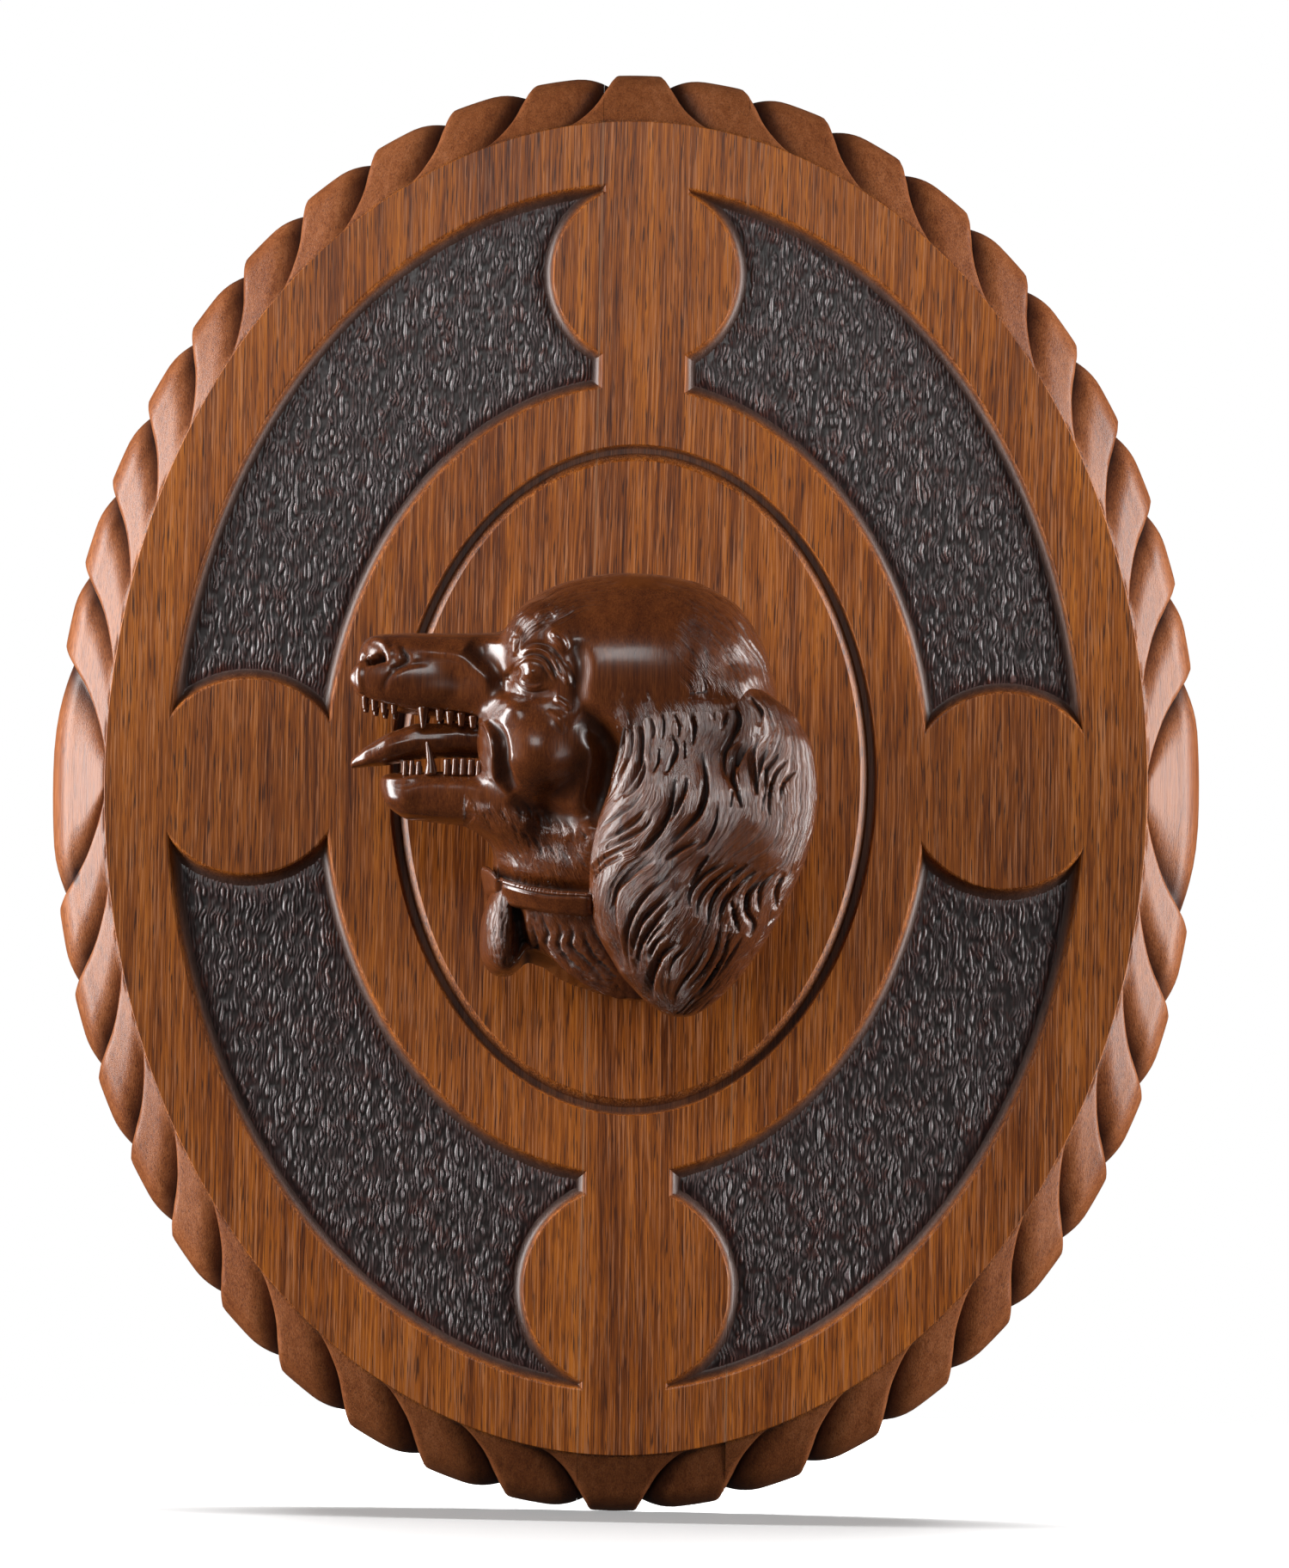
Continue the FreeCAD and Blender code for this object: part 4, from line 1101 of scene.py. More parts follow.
# Each gouge cut: its path, its width and its depth in millimetres
GOUGES = (
    (((230, 250), (262, 330), (262, 430), (225, 540), (175, 640), (140, 760)), 4.0, 0.9),
    (((265, 240), (300, 330), (300, 440), (262, 540), (205, 640), (150, 740)), 4.5, 1.2),
    (((310, 240), (345, 320), (352, 420), (338, 520), (290, 610), (215, 690)), 7.0, 1.9),
    (((395, 300), (408, 350), (402, 400)), 4.0, 0.9),
    (((445, 270), (455, 340), (445, 400)), 4.0, 1.0),
    (((500, 280), (528, 340), (516, 395)), 5.0, 1.3),
    (((570, 260), (600, 340), (585, 430)), 7.0, 1.7),
    (((645, 235), (680, 275), (690, 312)), 4.5, 1.0),
    (((700, 225), (742, 290), (722, 360)), 6.0, 1.4),
    (((770, 225), (806, 310), (775, 390), (722, 470)), 7.0, 1.8),
    (((850, 200), (905, 265), (895, 340)), 6.0, 1.3),
    (((430, 440), (428, 500), (400, 560)), 5.0, 1.3),
    (((485, 375), (515, 440), (490, 510), (455, 565)), 7.0, 1.6),
    (((550, 420), (552, 480)), 3.5, 0.9),
    (((625, 455), (648, 550), (650, 650), (620, 745), (560, 815), (490, 885)), 10.0, 2.6),
    (((505, 580), (492, 680), (458, 790), (395, 880), (320, 950)), 9.0, 2.2),
    (((562, 575), (548, 650), (516, 720), (475, 785)), 8.0, 1.9),
    (((360, 470), (358, 550), (320, 625), (262, 670)), 7.0, 1.7),
    (((352, 650), (300, 710), (230, 755), (165, 800)), 6.0, 1.3),
    (((375, 720), (322, 785), (240, 835), (150, 885)), 6.0, 1.5),
    (((400, 770), (345, 830), (255, 872), (150, 925)), 6.0, 1.5),
    (((320, 890), (235, 920), (160, 960), (112, 1010)), 5.0, 1.2),
    (((705, 700), (695, 790), (655, 875), (600, 915)), 6.0, 1.3),
    (((615, 875), (540, 912), (458, 965)), 6.0, 1.5),
    (((665, 940), (620, 1005), (568, 1085)), 7.0, 1.7),
    (((905, 380), (868, 450), (872, 530), (888, 660)), 8.0, 1.8),
    (((950, 430), (905, 510), (890, 600), (885, 660)), 6.0, 1.4),
    (((868, 390), (812, 470), (776, 560), (795, 630), (816, 725)), 10.0, 2.4),
    (((800, 400), (745, 450), (735, 520), (745, 585)), 6.0, 1.4),
    (((985, 470), (930, 550), (925, 640), (905, 740)), 6.0, 1.4),
    (((1030, 490), (970, 570), (945, 670), (940, 770)), 6.0, 1.4),
    (((1070, 540), (1010, 610), (990, 700)), 5.0, 1.0),
    (((770, 640), (766, 705)), 3.5, 0.8),
    (((260, 945), (150, 1000), (103, 1100), (118, 1230)), 10.0, 2.4),
    (((420, 950), (300, 1030), (222, 1110), (210, 1230), (235, 1380), (262, 1480)), 14.0, 3.2),
    (((490, 1030), (400, 1100), (325, 1190), (282, 1290), (278, 1400), (300, 1490)), 7.0, 1.7),
    (((492, 1110), (420, 1180), (352, 1250), (318, 1340), (300, 1420)), 8.0, 1.9),
    (((492, 1165), (430, 1240), (368, 1320), (335, 1400), (330, 1490)), 8.0, 1.9),
    (((462, 1250), (405, 1310), (362, 1380)), 6.0, 1.3),
    (((468, 1310), (415, 1355), (382, 1430)), 6.0, 1.4),
    (((520, 1350), (452, 1405), (410, 1480), (392, 1560), (400, 1615)), 10.0, 2.4),
    (((560, 1370), (500, 1430), (470, 1510)), 5.0, 1.0),
    (((735, 975), (640, 1035), (580, 1110), (572, 1185)), 8.0, 1.9),
    (((790, 985), (695, 1055), (625, 1140), (605, 1225)), 8.0, 1.8),
    (((840, 985), (745, 1065), (680, 1150), (655, 1260)), 8.0, 1.8),
    (((880, 1010), (800, 1085), (735, 1165), (702, 1280)), 7.0, 1.7),
    (((930, 1030), (850, 1120), (842, 1200), (872, 1262), (848, 1320)), 8.0, 1.8),
    (((975, 1010), (905, 1095), (892, 1200)), 6.0, 1.4),
    (((1015, 1020), (982, 1100), (975, 1190)), 6.0, 1.4),
    (((765, 1150), (785, 1230), (800, 1300)), 6.0, 1.4),
    (((712, 1270), (695, 1380), (642, 1480), (560, 1560)), 7.0, 1.5),
    (((650, 1370), (600, 1460), (540, 1540), (500, 1610)), 6.0, 1.3),
    (((752, 1300), (735, 1400), (682, 1500), (600, 1610)), 6.0, 1.4),
    (((820, 1310), (760, 1420), (680, 1540)), 5.0, 1.0),
)

def hang_strands(carving, area):
    """Cuts the strands of the ear, which also begin on the skull above it."""
    there = area(carving.seen) * np.clip(carving.facing / 0.3, 0, 1)
    picked = np.flatnonzero(there > 0)
    pixels = carving.seen[picked]
    across, along = hair_flow(pixels, EAR_GUIDES)
    wander = 0.22 * waver(pixels, 90, 3) + 0.08 * waver(pixels, 30, 4)
    back_edge = ramped(across, 8.0, 11.0)
    cut = strand_cuts(across + wander, along, 2.0, 11, gaps=0.45) * (0.5 + 0.5 * back_edge)
    cut += strand_cuts(across + wander * 1.3, along, 4.5, 23, gaps=0.40) * (0.22 + 0.68 * back_edge)
    cut += strand_cuts(across + wander * 1.5, along, 9.0, 37, steep=0.25, gaps=0.45) * (0.10 + 0.30 * back_edge)
    carving.points[picked] -= carving.normals[picked] * (cut * there[picked] * MM)[:, None]
    note_hair(carving, picked, across + wander, along, there[picked])
    carving.write()


def below_the_skull(pixels):
    return ramped(pixels[:, 1], 796, 838)


def above_the_ear(pixels):
    across, down = pixels.T
    return ramped(down, 796, 838) * ramped(across, 704, 722)


hang_strands(ear, below_the_skull)
hang_strands(head, above_the_ear)
for gouge, width, deep in GOUGES:
    ear.stroke(from_crop(gouge), 1.1 * width, -1.6 * deep, tip=0.45, shape="gouge", facing=(-0.2, 0.2))
ear.write()


# %% [markdown]
# The cuts and hollows are painted darker as shade, and the ridges lighter as rubbed wear and painted sheen, so each
# point is told how far it lies below or above its surroundings.

# %% Finish the head and the ear
def relief(block, times, full):
    """How far each point lies below its surroundings, from -1 on a ridge to 1 in a cut."""
    mesh = block.data
    ends = np.empty(len(mesh.edges) * 2, np.int64)
    mesh.edges.foreach_get("vertices", ends)
    ends = ends.reshape(-1, 2)
    points, normals = np.empty(len(mesh.vertices) * 3), np.empty(len(mesh.vertices) * 3)
    mesh.vertices.foreach_get("co", points)
    mesh.vertices.foreach_get("normal", normals)
    points, normals = points.reshape(-1, 3), normals.reshape(-1, 3)
    count = np.bincount(ends.ravel(), minlength=len(points))[:, None]
    even = points.copy()
    for _ in range(times):
        total = np.column_stack([
            np.bincount(ends[:, 0], even[ends[:, 1], axis], len(points)) + np.bincount(ends[:, 1], even[ends[:, 0], axis], len(points))
            for axis in range(3)])
        even = (even + total / count) / 2
    return np.clip(((even - points) * normals).sum(1) / full, -1, 1)


def finish_carving(carving, name, nodes, full=0.0006):
    hair = getattr(carving, "hair", np.zeros((3, len(carving.points))))
    keep_number(carving.block, "relief", relief(carving.block, 14, full))
    keep_number(carving.block, "shade", relief(carving.block, 90, 0.0035))
    for values, number in zip(hair, ("hair_across", "hair_along", "hair_amount")):
        keep_number(carving.block, number, values)
    return settle(carving.block, name, nodes)


finish_carving(ear, "near_ear_carving", ("near_ear",))
finish_carving(head, "hound_head_carving", ("skull", "neck", "lower_jaw"))

# %% Carve the far ear
far_block = carving_block("far_ear_hair", ("far_ear",), 1.5 * MM)
soften(far_block, 40)
joined(far_block, [], 1.1 * MM)
soften(far_block, 3)
far_ear = Carving(far_block)
across, along = hair_flow(far_ear.seen, EAR_GUIDES)
open_side = np.clip(far_ear.facing / 0.3, 0, 1)
cut = strand_cuts(across, along, 1.5, 11, gaps=0.35) * 1.6 + strand_cuts(across, along, 4.0, 23, gaps=0.4) * 0.6
far_ear.points -= far_ear.normals * (cut * open_side * MM)[:, None]
far_ear.write()
far_ear.hair = np.array((across, along, open_side))
finish_carving(far_ear, "far_ear_carving", ("far_ear",))

# %% Carve tongue, teeth and collar
tongue_block = carving_block("tongue_block", ("tongue",), 0.9 * MM)
soften(tongue_block, 12)
tongue = Carving(tongue_block)
tongue.stroke(((412, 889), (440, 868), (480, 856), (540, 856)), 7, -0.5)
tongue.write()
finish_carving(tongue, "tongue_carving", ("tongue",))

upper_block = carving_block("upper_block", ("upper_teeth",), 0.4 * MM)
soften(upper_block, 3)
upper_teeth = Carving(upper_block)
upper_teeth.points += upper_teeth.normals * 0.0003
upper_teeth.write()
finish_carving(upper_teeth, "upper_teeth_carving", ("upper_teeth",))

lower_block = carving_block("lower_block", ("lower_teeth",), 0.4 * MM)
soften(lower_block, 3)
lower_teeth = Carving(lower_block)
fang = (lower_teeth.seen[:, 0] > 498) & (lower_teeth.seen[:, 0] < 518)
height = np.clip((898 - lower_teeth.seen[:, 1]) / 32, 0, 1)
lower_teeth.points[:, 0] -= np.where(fang, 0.0016 * height ** 2, 0)
lower_teeth.points += lower_teeth.normals * 0.0003
lower_teeth.write()
finish_carving(lower_teeth, "lower_teeth_carving", ("lower_teeth",))

collar_block = carving_block("collar_block", ("collar",), 0.55 * MM)
soften(collar_block, 8)
collar = Carving(collar_block)
collar.points += collar.normals * 0.0024 + collar.straight * np.clip(collar.facing, 0, 1)[:, None] * 0.0012
collar.write()
across, down = collar.seen.T
middle = np.interp(across, (555, 568, 580, 590, 617, 650, 680), (1020, 1024, 1032, 1036, 1043, 1048, 1050))
half = np.interp(across, (555, 568, 580, 590, 617), (26, 24, 17, 16, 15))
move_to(collar, range(len(across)), np.column_stack((across, middle + (down - 1030) * half / 25)))
collar.write()
soften(collar_block, 2)
collar.read()
collar.stroke(((584, 1029), (600, 1034), (620, 1039), (650, 1043), (760, 1044)), 2.6, -0.9, tip=0, shape="groove")
collar.stroke(((579, 1000), (580, 1030), (581, 1070)), 4.5, -2.2, tip=0)
collar.write()
finish_carving(collar, "collar_carving", ("collar",))
# %% [markdown]
# ## Woods and metals
#
# All the wood comes from two node groups. One gives upright grain: fine fibres, wider streaks and slow bands, with dark
# pores and light streaks of painted sheen along the fibres. The other gives the fine lines that a gouge leaves along
# the hair.

# %% Helpers for materials
def node(tree, kind, sockets=None, **settings):
    made = tree.nodes.new("ShaderNode" + kind)
    for key, value in settings.items():
        setattr(made, key, value)
    for key, value in (sockets or {}).items():
        if isinstance(value, bpy.types.NodeSocket):
            tree.links.new(value, made.inputs[key])
        else:
            made.inputs[key].default_value = value
    return made


def ramp(tree, factor, stops):
    made = node(tree, "ValToRGB", {"Fac": factor})
    elements = made.color_ramp.elements
    while len(elements) < len(stops):
        elements.new(0.5)
    for element, (place, colour) in zip(elements, stops):
        element.position = place
        element.color = (*colour, 1) if isinstance(colour, tuple) else (colour, colour, colour, 1)
    return made.outputs["Color"]


def group(name, inputs, outputs):
    tree = bpy.data.node_groups.new(name, "ShaderNodeTree")
    for label, kind, value in inputs:
        socket = tree.interface.new_socket(name=label, in_out="INPUT", socket_type="NodeSocket" + kind)
        socket.default_value = value
    for label, kind in outputs:
        tree.interface.new_socket(name=label, in_out="OUTPUT", socket_type="NodeSocket" + kind)
    return tree, tree.nodes.new("NodeGroupInput").outputs, tree.nodes.new("NodeGroupOutput").inputs


def stretched_noise(tree, scale, detail=3.0, rough=0.6, warp=None):
    """Noise with its own scale along x, y and z of the object."""
    where = node(tree, "TexCoord").outputs["Object"]
    if warp is not None:
        where = node(tree, "VectorMath", {0: where, 1: warp}, operation="ADD").outputs[0]
    placed = node(tree, "VectorMath", {0: where, 1: scale}, operation="MULTIPLY").outputs[0]
    return node(tree, "TexNoise", {"Vector": placed, "Scale": 1.0, "Detail": detail, "Roughness": rough}).outputs["Fac"]


def calculate(tree, operation, first, second=0.0, third=0.0, clamp=False):
    sockets = {0: first, 1: second}
    if operation in ("MULTIPLY_ADD", "COMPARE"):
        sockets[2] = third
    return node(tree, "Math", sockets, operation=operation, use_clamp=clamp).outputs[0]


def blend(tree, factor, first, second, mode="MIX"):
    made = node(tree, "Mix", data_type="RGBA", blend_type=mode)
    for key, value in (("Factor", factor), ("A", first), ("B", second)):
        socket = next(s for s in made.inputs if s.name == key and s.enabled)
        if isinstance(value, bpy.types.NodeSocket):
            tree.links.new(value, socket)
        else:
            socket.default_value = (*value, 1) if isinstance(value, tuple) else value
    return next(s for s in made.outputs if s.enabled)


# %% Upright grain
grain, grain_in, grain_out = group(
    "upright_grain", [("Density", "Float", 1.0)], [("Tone", "Float"), ("Pores", "Float"), ("Pale", "Float"), ("Height", "Float")])
wander = stretched_noise(grain, (9, 9, 2.2), 2.0)
sway = node(grain, "CombineXYZ", {"X": calculate(grain, "MULTIPLY_ADD", wander, 0.012, -0.006)}).outputs[0]
fibres = stretched_noise(grain, (1900, 1900, 36), 3.0, 0.66, sway)
streaks = stretched_noise(grain, (330, 330, 7), 3.0, 0.62, sway)
bands = stretched_noise(grain, (46, 46, 1.4), 2.0, 0.5, sway)
dashes = stretched_noise(grain, (2300, 2300, 75), 1.0, 0.5, sway)
# painted sheen: light streaks along the fibres stand in for light that the fibres catch
fibre_sheen = stretched_noise(grain, (1900, 1900, 34), 2.0, 0.6, sway)
tone = calculate(grain, "ADD", calculate(grain, "MULTIPLY", fibres, 0.46), calculate(grain, "MULTIPLY", streaks, 0.30))
tone = calculate(grain, "ADD", tone, calculate(grain, "MULTIPLY", bands, 0.24))
grain.links.new(ramp(grain, tone, [(0.36, 0.0), (0.64, 1.0)]), grain_out["Tone"])
grain.links.new(ramp(grain, dashes, [(0.58, 0.0), (0.66, 1.0)]), grain_out["Pores"])
grain.links.new(ramp(grain, fibre_sheen, [(0.54, 0.0), (0.66, 1.0)]), grain_out["Pale"])
grain.links.new(calculate(grain, "SUBTRACT", calculate(grain, "ADD", fibres, calculate(grain, "MULTIPLY", streaks, 0.5)),
                          calculate(grain, "MULTIPLY", dashes, 0.5)), grain_out["Height"])


def principled(name, rough, coat=0.0, coat_rough=0.15, specular=0.5):
    """A new material and its shader, with its fixed values on the shader itself."""
    material = bpy.data.materials.new(name)
    material.use_nodes = True
    shader = material.node_tree.nodes["Principled BSDF"]
    shader.inputs["Roughness"].default_value = rough
    shader.inputs["Coat Weight"].default_value = coat
    shader.inputs["Coat Roughness"].default_value = coat_rough
    shader.inputs["Specular IOR Level"].default_value = specular
    return material, material.node_tree, shader


def bump(tree, shader, height, distance, strength=1.0, below=None):
    made = node(tree, "Bump", {"Height": height, "Distance": distance, "Strength": strength})
    if below is not None:
        tree.links.new(below, made.inputs["Normal"])
    tree.links.new(made.outputs["Normal"], shader.inputs["Normal"])
    return made.outputs["Normal"]


def grained(tree):
    made = tree.nodes.new("ShaderNodeGroup")
    made.node_tree = grain
    return made.outputs


# %% [markdown]
# The board is one wood with three finishes: the planed field is orange-brown and satin with painted sheen along its
# fibres, the rope is a little redder and polished by hands, with painted shade in its grooves, and the walls of the
# panels are painted dark as shade.

# %% Board wood
def board_wood():
    material, tree, shader = principled("board_wood", 0.42, 0.14, 0.22, 0.42)
    wood = grained(tree)
    where = node(tree, "SeparateXYZ", {0: node(tree, "TexCoord").outputs["Object"]}).outputs
    across = calculate(tree, "DIVIDE", where["X"], FIELD_HALF_WIDTH)
    up = calculate(tree, "DIVIDE", where["Z"], FIELD_HALF_HEIGHT)
    reach = calculate(tree, "SQRT", calculate(tree, "ADD", calculate(tree, "MULTIPLY", across, across), calculate(tree, "MULTIPLY", up, up)))
    rope_mask = node(tree, "MapRange", {"Value": reach, "From Min": 1.0, "From Max": 1.006}).outputs[0]
    sunk_mask = node(tree, "MapRange", {"Value": where["Y"], "From Min": -THICKNESS + 0.0003, "From Max": -THICKNESS + 0.0040}).outputs[0]
    sunk_mask = calculate(tree, "MULTIPLY", sunk_mask, calculate(tree, "SUBTRACT", 1.0, rope_mask))
    field_colour = ramp(tree, wood["Tone"], [(0.0, (0.060, 0.012, 0.002)), (0.35, (0.20, 0.047, 0.003)), (0.62, (0.35, 0.092, 0.005)), (1.0, (0.55, 0.165, 0.013))])
    # painted sheen: the field is lightened along the sheen streaks
    field_colour = blend(tree, calculate(tree, "MULTIPLY", wood["Pale"], 0.5), field_colour, (0.46, 0.205, 0.105))
    field_colour = blend(tree, calculate(tree, "MULTIPLY", wood["Pores"], 0.85), field_colour, (0.035, 0.008, 0.003))
    for seam in SEAMS:
        off = calculate(tree, "ABSOLUTE", calculate(tree, "SUBTRACT", where["X"], seam))
        glue = node(tree, "MapRange", {"Value": off, "From Min": 0.0006, "From Max": 0.0002}).outputs[0]
        field_colour = blend(tree, calculate(tree, "MULTIPLY", glue, 0.5), field_colour, (0.50, 0.24, 0.12))
    rope_colour = ramp(tree, wood["Tone"], [(0.0, (0.135, 0.034, 0.010)), (0.5, (0.26, 0.078, 0.022)), (1.0, (0.36, 0.125, 0.045))])
    rope_colour = blend(tree, calculate(tree, "MULTIPLY", wood["Pores"], 0.5), rope_colour, (0.06, 0.018, 0.012))
    # painted shade: the rope is darkened towards the bottoms of the grooves between its strands
    groove = node(tree, "Attribute", attribute_name="groove").outputs["Fac"]
    groove_shade = node(tree, "MapRange", {"Value": groove, "From Min": 0.25, "From Max": 0.85}).outputs[0]
    rope_colour = blend(tree, calculate(tree, "MULTIPLY", groove_shade, 0.9), rope_colour, (0.030, 0.009, 0.006))
    knot_place = at_pixel(89, 1020, 0.02)
    beside = calculate(tree, "MULTIPLY", calculate(tree, "SUBTRACT", where["X"], knot_place.x), 2.2)
    above = calculate(tree, "SUBTRACT", where["Z"], knot_place.z)
    from_knot = calculate(tree, "SQRT", calculate(tree, "ADD", calculate(tree, "MULTIPLY", beside, beside), calculate(tree, "MULTIPLY", above, above)))
    knot = node(tree, "MapRange", {"Value": from_knot, "From Min": 0.0048, "From Max": 0.0022}).outputs[0]
    rope_colour = blend(tree, calculate(tree, "MULTIPLY", knot, 0.85), rope_colour, (0.035, 0.014, 0.012))
    colour = blend(tree, rope_mask, field_colour, rope_colour)
    # painted shade: everything sunk below the front face, the walls of the panels above all, is coloured dark
    wall_shade_colour = ramp(tree, wood["Tone"], [(0.0, (0.045, 0.020, 0.014)), (1.0, (0.10, 0.045, 0.030))])
    colour = blend(tree, sunk_mask, colour, wall_shade_colour)
    tree.links.new(colour, shader.inputs["Base Color"])
    rough = calculate(tree, "MULTIPLY_ADD", wood["Tone"], 0.12, 0.36)
    tree.links.new(rough, shader.inputs["Roughness"])
    bump(tree, shader, wood["Height"], 0.00022, 0.5)
    return material


# %% Matted floor
def matted_wood():
    material, tree, shader = principled("matted_wood", 0.40, 0.42, 0.28, 0.6)
    ridge = node(tree, "Attribute", attribute_name="ridge").outputs["Fac"]
    near = node(tree, "Attribute", attribute_name="near_wall").outputs["Fac"]
    patches = stretched_noise(tree, (150, 150, 150), 3.0)
    # painted glints and painted shade: both ramps are lighter on the tops of the matting ridges and near black in the
    # pits between them
    dark = ramp(tree, ridge, [(0.0, (0.011, 0.006, 0.005)), (0.45, (0.066, 0.041, 0.040)), (1.0, (0.19, 0.142, 0.146))])
    red = ramp(tree, ridge, [(0.0, (0.030, 0.005, 0.004)), (1.0, (0.16, 0.048, 0.030))])
    worn = calculate(tree, "ADD", calculate(tree, "MULTIPLY", near, 0.75), ramp(tree, patches, [(0.52, 0.0), (0.66, 0.7)]), clamp=True)
    tree.links.new(blend(tree, worn, dark, red), shader.inputs["Base Color"])
    return material


# %% Head wood
hair_lines, hair_in, hair_out = group("gouge_lines", [("Amount", "Float", 1.0)], [("Height", "Float"), ("Tone", "Float")])
lay = node(hair_lines, "Attribute", attribute_name="hair_across").outputs["Fac"]
length = node(hair_lines, "Attribute", attribute_name="hair_along").outputs["Fac"]
spot = node(hair_lines, "CombineXYZ", {"X": calculate(hair_lines, "MULTIPLY", lay, 26.0), "Y": calculate(hair_lines, "MULTIPLY", length, 9.0)}).outputs[0]
lines = node(hair_lines, "TexNoise", {"Vector": spot, "Scale": 1.0, "Detail": 2.0, "Roughness": 0.6}).outputs["Fac"]
there = node(hair_lines, "Attribute", attribute_name="hair_amount").outputs["Fac"]
hair_lines.links.new(calculate(hair_lines, "MULTIPLY", lines, there), hair_out["Height"])
hair_lines.links.new(lines, hair_out["Tone"])


def head_wood():
    material, tree, shader = principled("head_wood", 0.34, 0.40, 0.15, 0.6)
    wood = grained(tree)
    hair = tree.nodes.new("ShaderNodeGroup")
    hair.node_tree = hair_lines
    colour = ramp(tree, wood["Tone"], [(0.0, (0.046, 0.010, 0.003)), (0.5, (0.105, 0.026, 0.006)), (1.0, (0.175, 0.048, 0.011))])
    height = node(tree, "Attribute", attribute_name="relief").outputs["Fac"]
    deep = node(tree, "Attribute", attribute_name="shade").outputs["Fac"]
    hollow = calculate(tree, "MAXIMUM", height, calculate(tree, "MAXIMUM", deep, 0.0))
    ridge = calculate(tree, "MAXIMUM", calculate(tree, "MULTIPLY", height, -1.0), 0.0)
    # painted shade: cuts and hollows are darkened towards near black
    colour = blend(tree, calculate(tree, "MULTIPLY", hollow, 0.9), colour, (0.010, 0.004, 0.003))
    # rubbed wear and painted sheen: the ridges are made lighter
    colour = blend(tree, calculate(tree, "MULTIPLY", ridge, 0.25), colour, (0.15, 0.045, 0.018))
    tree.links.new(colour, shader.inputs["Base Color"])
    rough = calculate(tree, "MULTIPLY_ADD", hollow, 0.45, 0.24)
    tree.links.new(rough, shader.inputs["Roughness"])
    varnish = calculate(tree, "MULTIPLY_ADD", hollow, -0.45, 0.46, clamp=True)
    tree.links.new(varnish, shader.inputs["Coat Weight"])
    first = bump(tree, shader, wood["Height"], 0.00012, 0.4)
    bump(tree, shader, hair.outputs["Height"], 0.0005, 1.0, first)
    return material


# %% Beech, steel and brass
def hidden_beech():
    material, tree, shader = principled("beech", 0.55)
    fleck = stretched_noise(tree, (60, 1500, 1500), 3.0)
    colour = ramp(tree, fleck, [(0.3, (0.42, 0.25, 0.12)), (0.6, (0.60, 0.40, 0.22)), (0.75, (0.36, 0.19, 0.09))])
    tree.links.new(colour, shader.inputs["Base Color"])
    bump(tree, shader, fleck, 0.0002, 0.4)
    return material


def old_metal(name, clean, tarnish, rough, turned):
    """A metal with tarnish in patches and fine marks from turning or filing."""
    material, tree, shader = principled(name, rough)
    shader.inputs["Metallic"].default_value = 1.0
    patches = ramp(tree, stretched_noise(tree, (400, 400, 400), 4.0), [(0.45, 0.0), (0.65, 1.0)])
    marks = stretched_noise(tree, turned, 2.0)
    tree.links.new(blend(tree, patches, clean, tarnish), shader.inputs["Base Color"])
    tree.links.new(calculate(tree, "MULTIPLY_ADD", patches, 0.25, rough), shader.inputs["Roughness"])
    bump(tree, shader, marks, 0.00008, 0.5)
    return material


board = board_wood()
matted = matted_wood()
head_finish = head_wood()
beech = hidden_beech()
steel = old_metal("screw_steel", (0.42, 0.40, 0.38), (0.16, 0.12, 0.10), 0.35, (900, 3000, 900))
brass = old_metal("hanger_brass", (0.66, 0.46, 0.18), (0.30, 0.20, 0.09), 0.30, (200, 4000, 4000))
print("woods and metals made")

# %% Give each piece its wood
FINISHES = (("stave_dowels", beech), ("screws", steel), ("hanger", brass), ("stave", board), ("floor", matted))
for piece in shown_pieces():
    finish = next((made for word, made in FINISHES if word in piece.name), head_finish)
    if "hanger_screws" in piece.name:
        finish = brass
    piece.data.materials.clear()
    piece.data.materials.append(finish)
# %% [markdown]
# ## Light, wall of light and floor

# %% Light the plaque
def softbox(name, place, size, power, aim=(0, 0, 0)):
    turn = (Vector(aim) - Vector(place)).to_track_quat("-Z", "Y").to_euler()
    bpy.ops.object.light_add(type="AREA", location=place, rotation=turn)
    box = bpy.context.object
    box.name = name
    box.data.shape = "RECTANGLE"
    box.data.size, box.data.size_y = size
    box.data.energy = power


softbox("left_softbox", (-1.35, -0.32, 0.20), (0.6, 1.4), 42)
softbox("right_softbox", (1.35, -0.32, 0.16), (0.6, 1.4), 34)
softbox("front_softbox", (-0.3, -2.2, 0.9), (0.9, 0.6), 7)

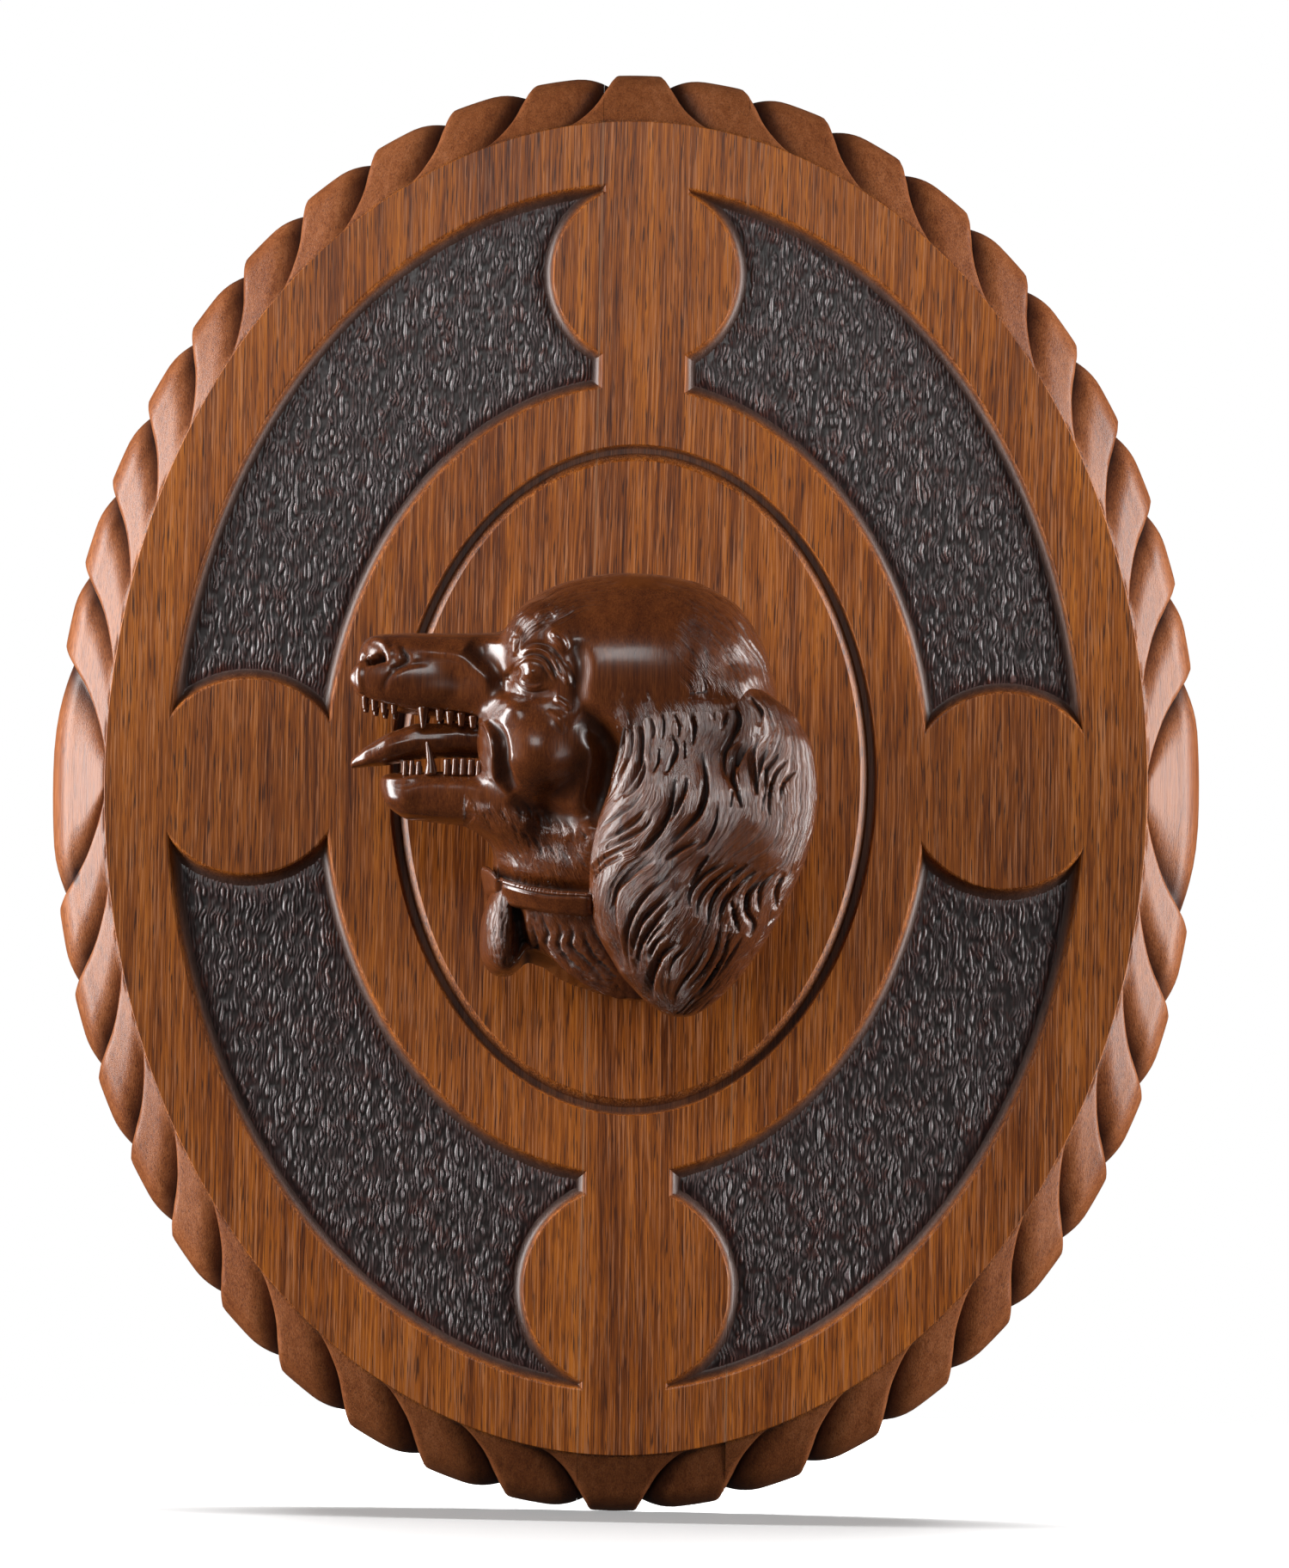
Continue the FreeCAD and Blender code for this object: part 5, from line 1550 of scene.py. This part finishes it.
world = bpy.data.worlds.new("white_studio")
bpy.context.scene.world = world
world.use_nodes = True
tree = world.node_tree
seen = tree.nodes["Background"]
seen.inputs["Color"].default_value = (1, 1, 1, 1)
seen.inputs["Strength"].default_value = 1.0
dim = tree.nodes.new("ShaderNodeBackground")
dim.inputs["Color"].default_value = (1, 1, 1, 1)
dim.inputs["Strength"].default_value = 0.03
path = tree.nodes.new("ShaderNodeLightPath")
mix = tree.nodes.new("ShaderNodeMixShader")
tree.links.new(path.outputs["Is Camera Ray"], mix.inputs["Fac"])
tree.links.new(dim.outputs["Background"], mix.inputs[1])
tree.links.new(seen.outputs["Background"], mix.inputs[2])
tree.links.new(mix.outputs["Shader"], tree.nodes["World Output"].inputs["Surface"])

# %% [markdown]
# The floor gives the soft shadow under the rim. A lamp of its own lights it, and the plaque doesn't
# mirror it, because in the photo the underside of the rim stays dark.

# %% Lay the floor
bpy.ops.object.select_all(action="DESELECT")
bpy.ops.mesh.primitive_plane_add(size=1, location=(0, 0, -HALF_HEIGHT), rotation=(math.radians(8.3), 0, 0))
floor = bpy.context.object
floor.name = "floor"
floor.scale = (1.5, 0.6, 1)
floor.visible_diffuse = False
floor.visible_glossy = False
paper = bpy.data.materials.new("white_paper")
paper.use_nodes = True
paper_shader = paper.node_tree.nodes["Principled BSDF"]
paper_shader.inputs["Base Color"].default_value = (0.9, 0.9, 0.9, 1)
paper_shader.inputs["Roughness"].default_value = 0.9
paper_shader.inputs["Emission Color"].default_value = (1, 1, 1, 1)
paper_shader.inputs["Emission Strength"].default_value = 0.36
floor.data.materials.append(paper)

softbox("floor_lamp", (0, 0.03, 0.75), (1.4, 0.3), 34, aim=(0, 0.0, -HALF_HEIGHT))
for name, lamps, state in (("only_floor", ("floor_lamp",), "INCLUDE"),
                           ("not_floor", ("left_softbox", "right_softbox", "front_softbox"), "EXCLUDE")):
    lit = bpy.data.collections.new(name)
    lit.objects.link(floor)
    lit.collection_objects[0].light_linking.link_state = state
    for lamp in lamps:
        bpy.data.objects[lamp].light_linking.receiver_collection = lit
bpy.context.scene.view_settings.view_transform = "Standard"
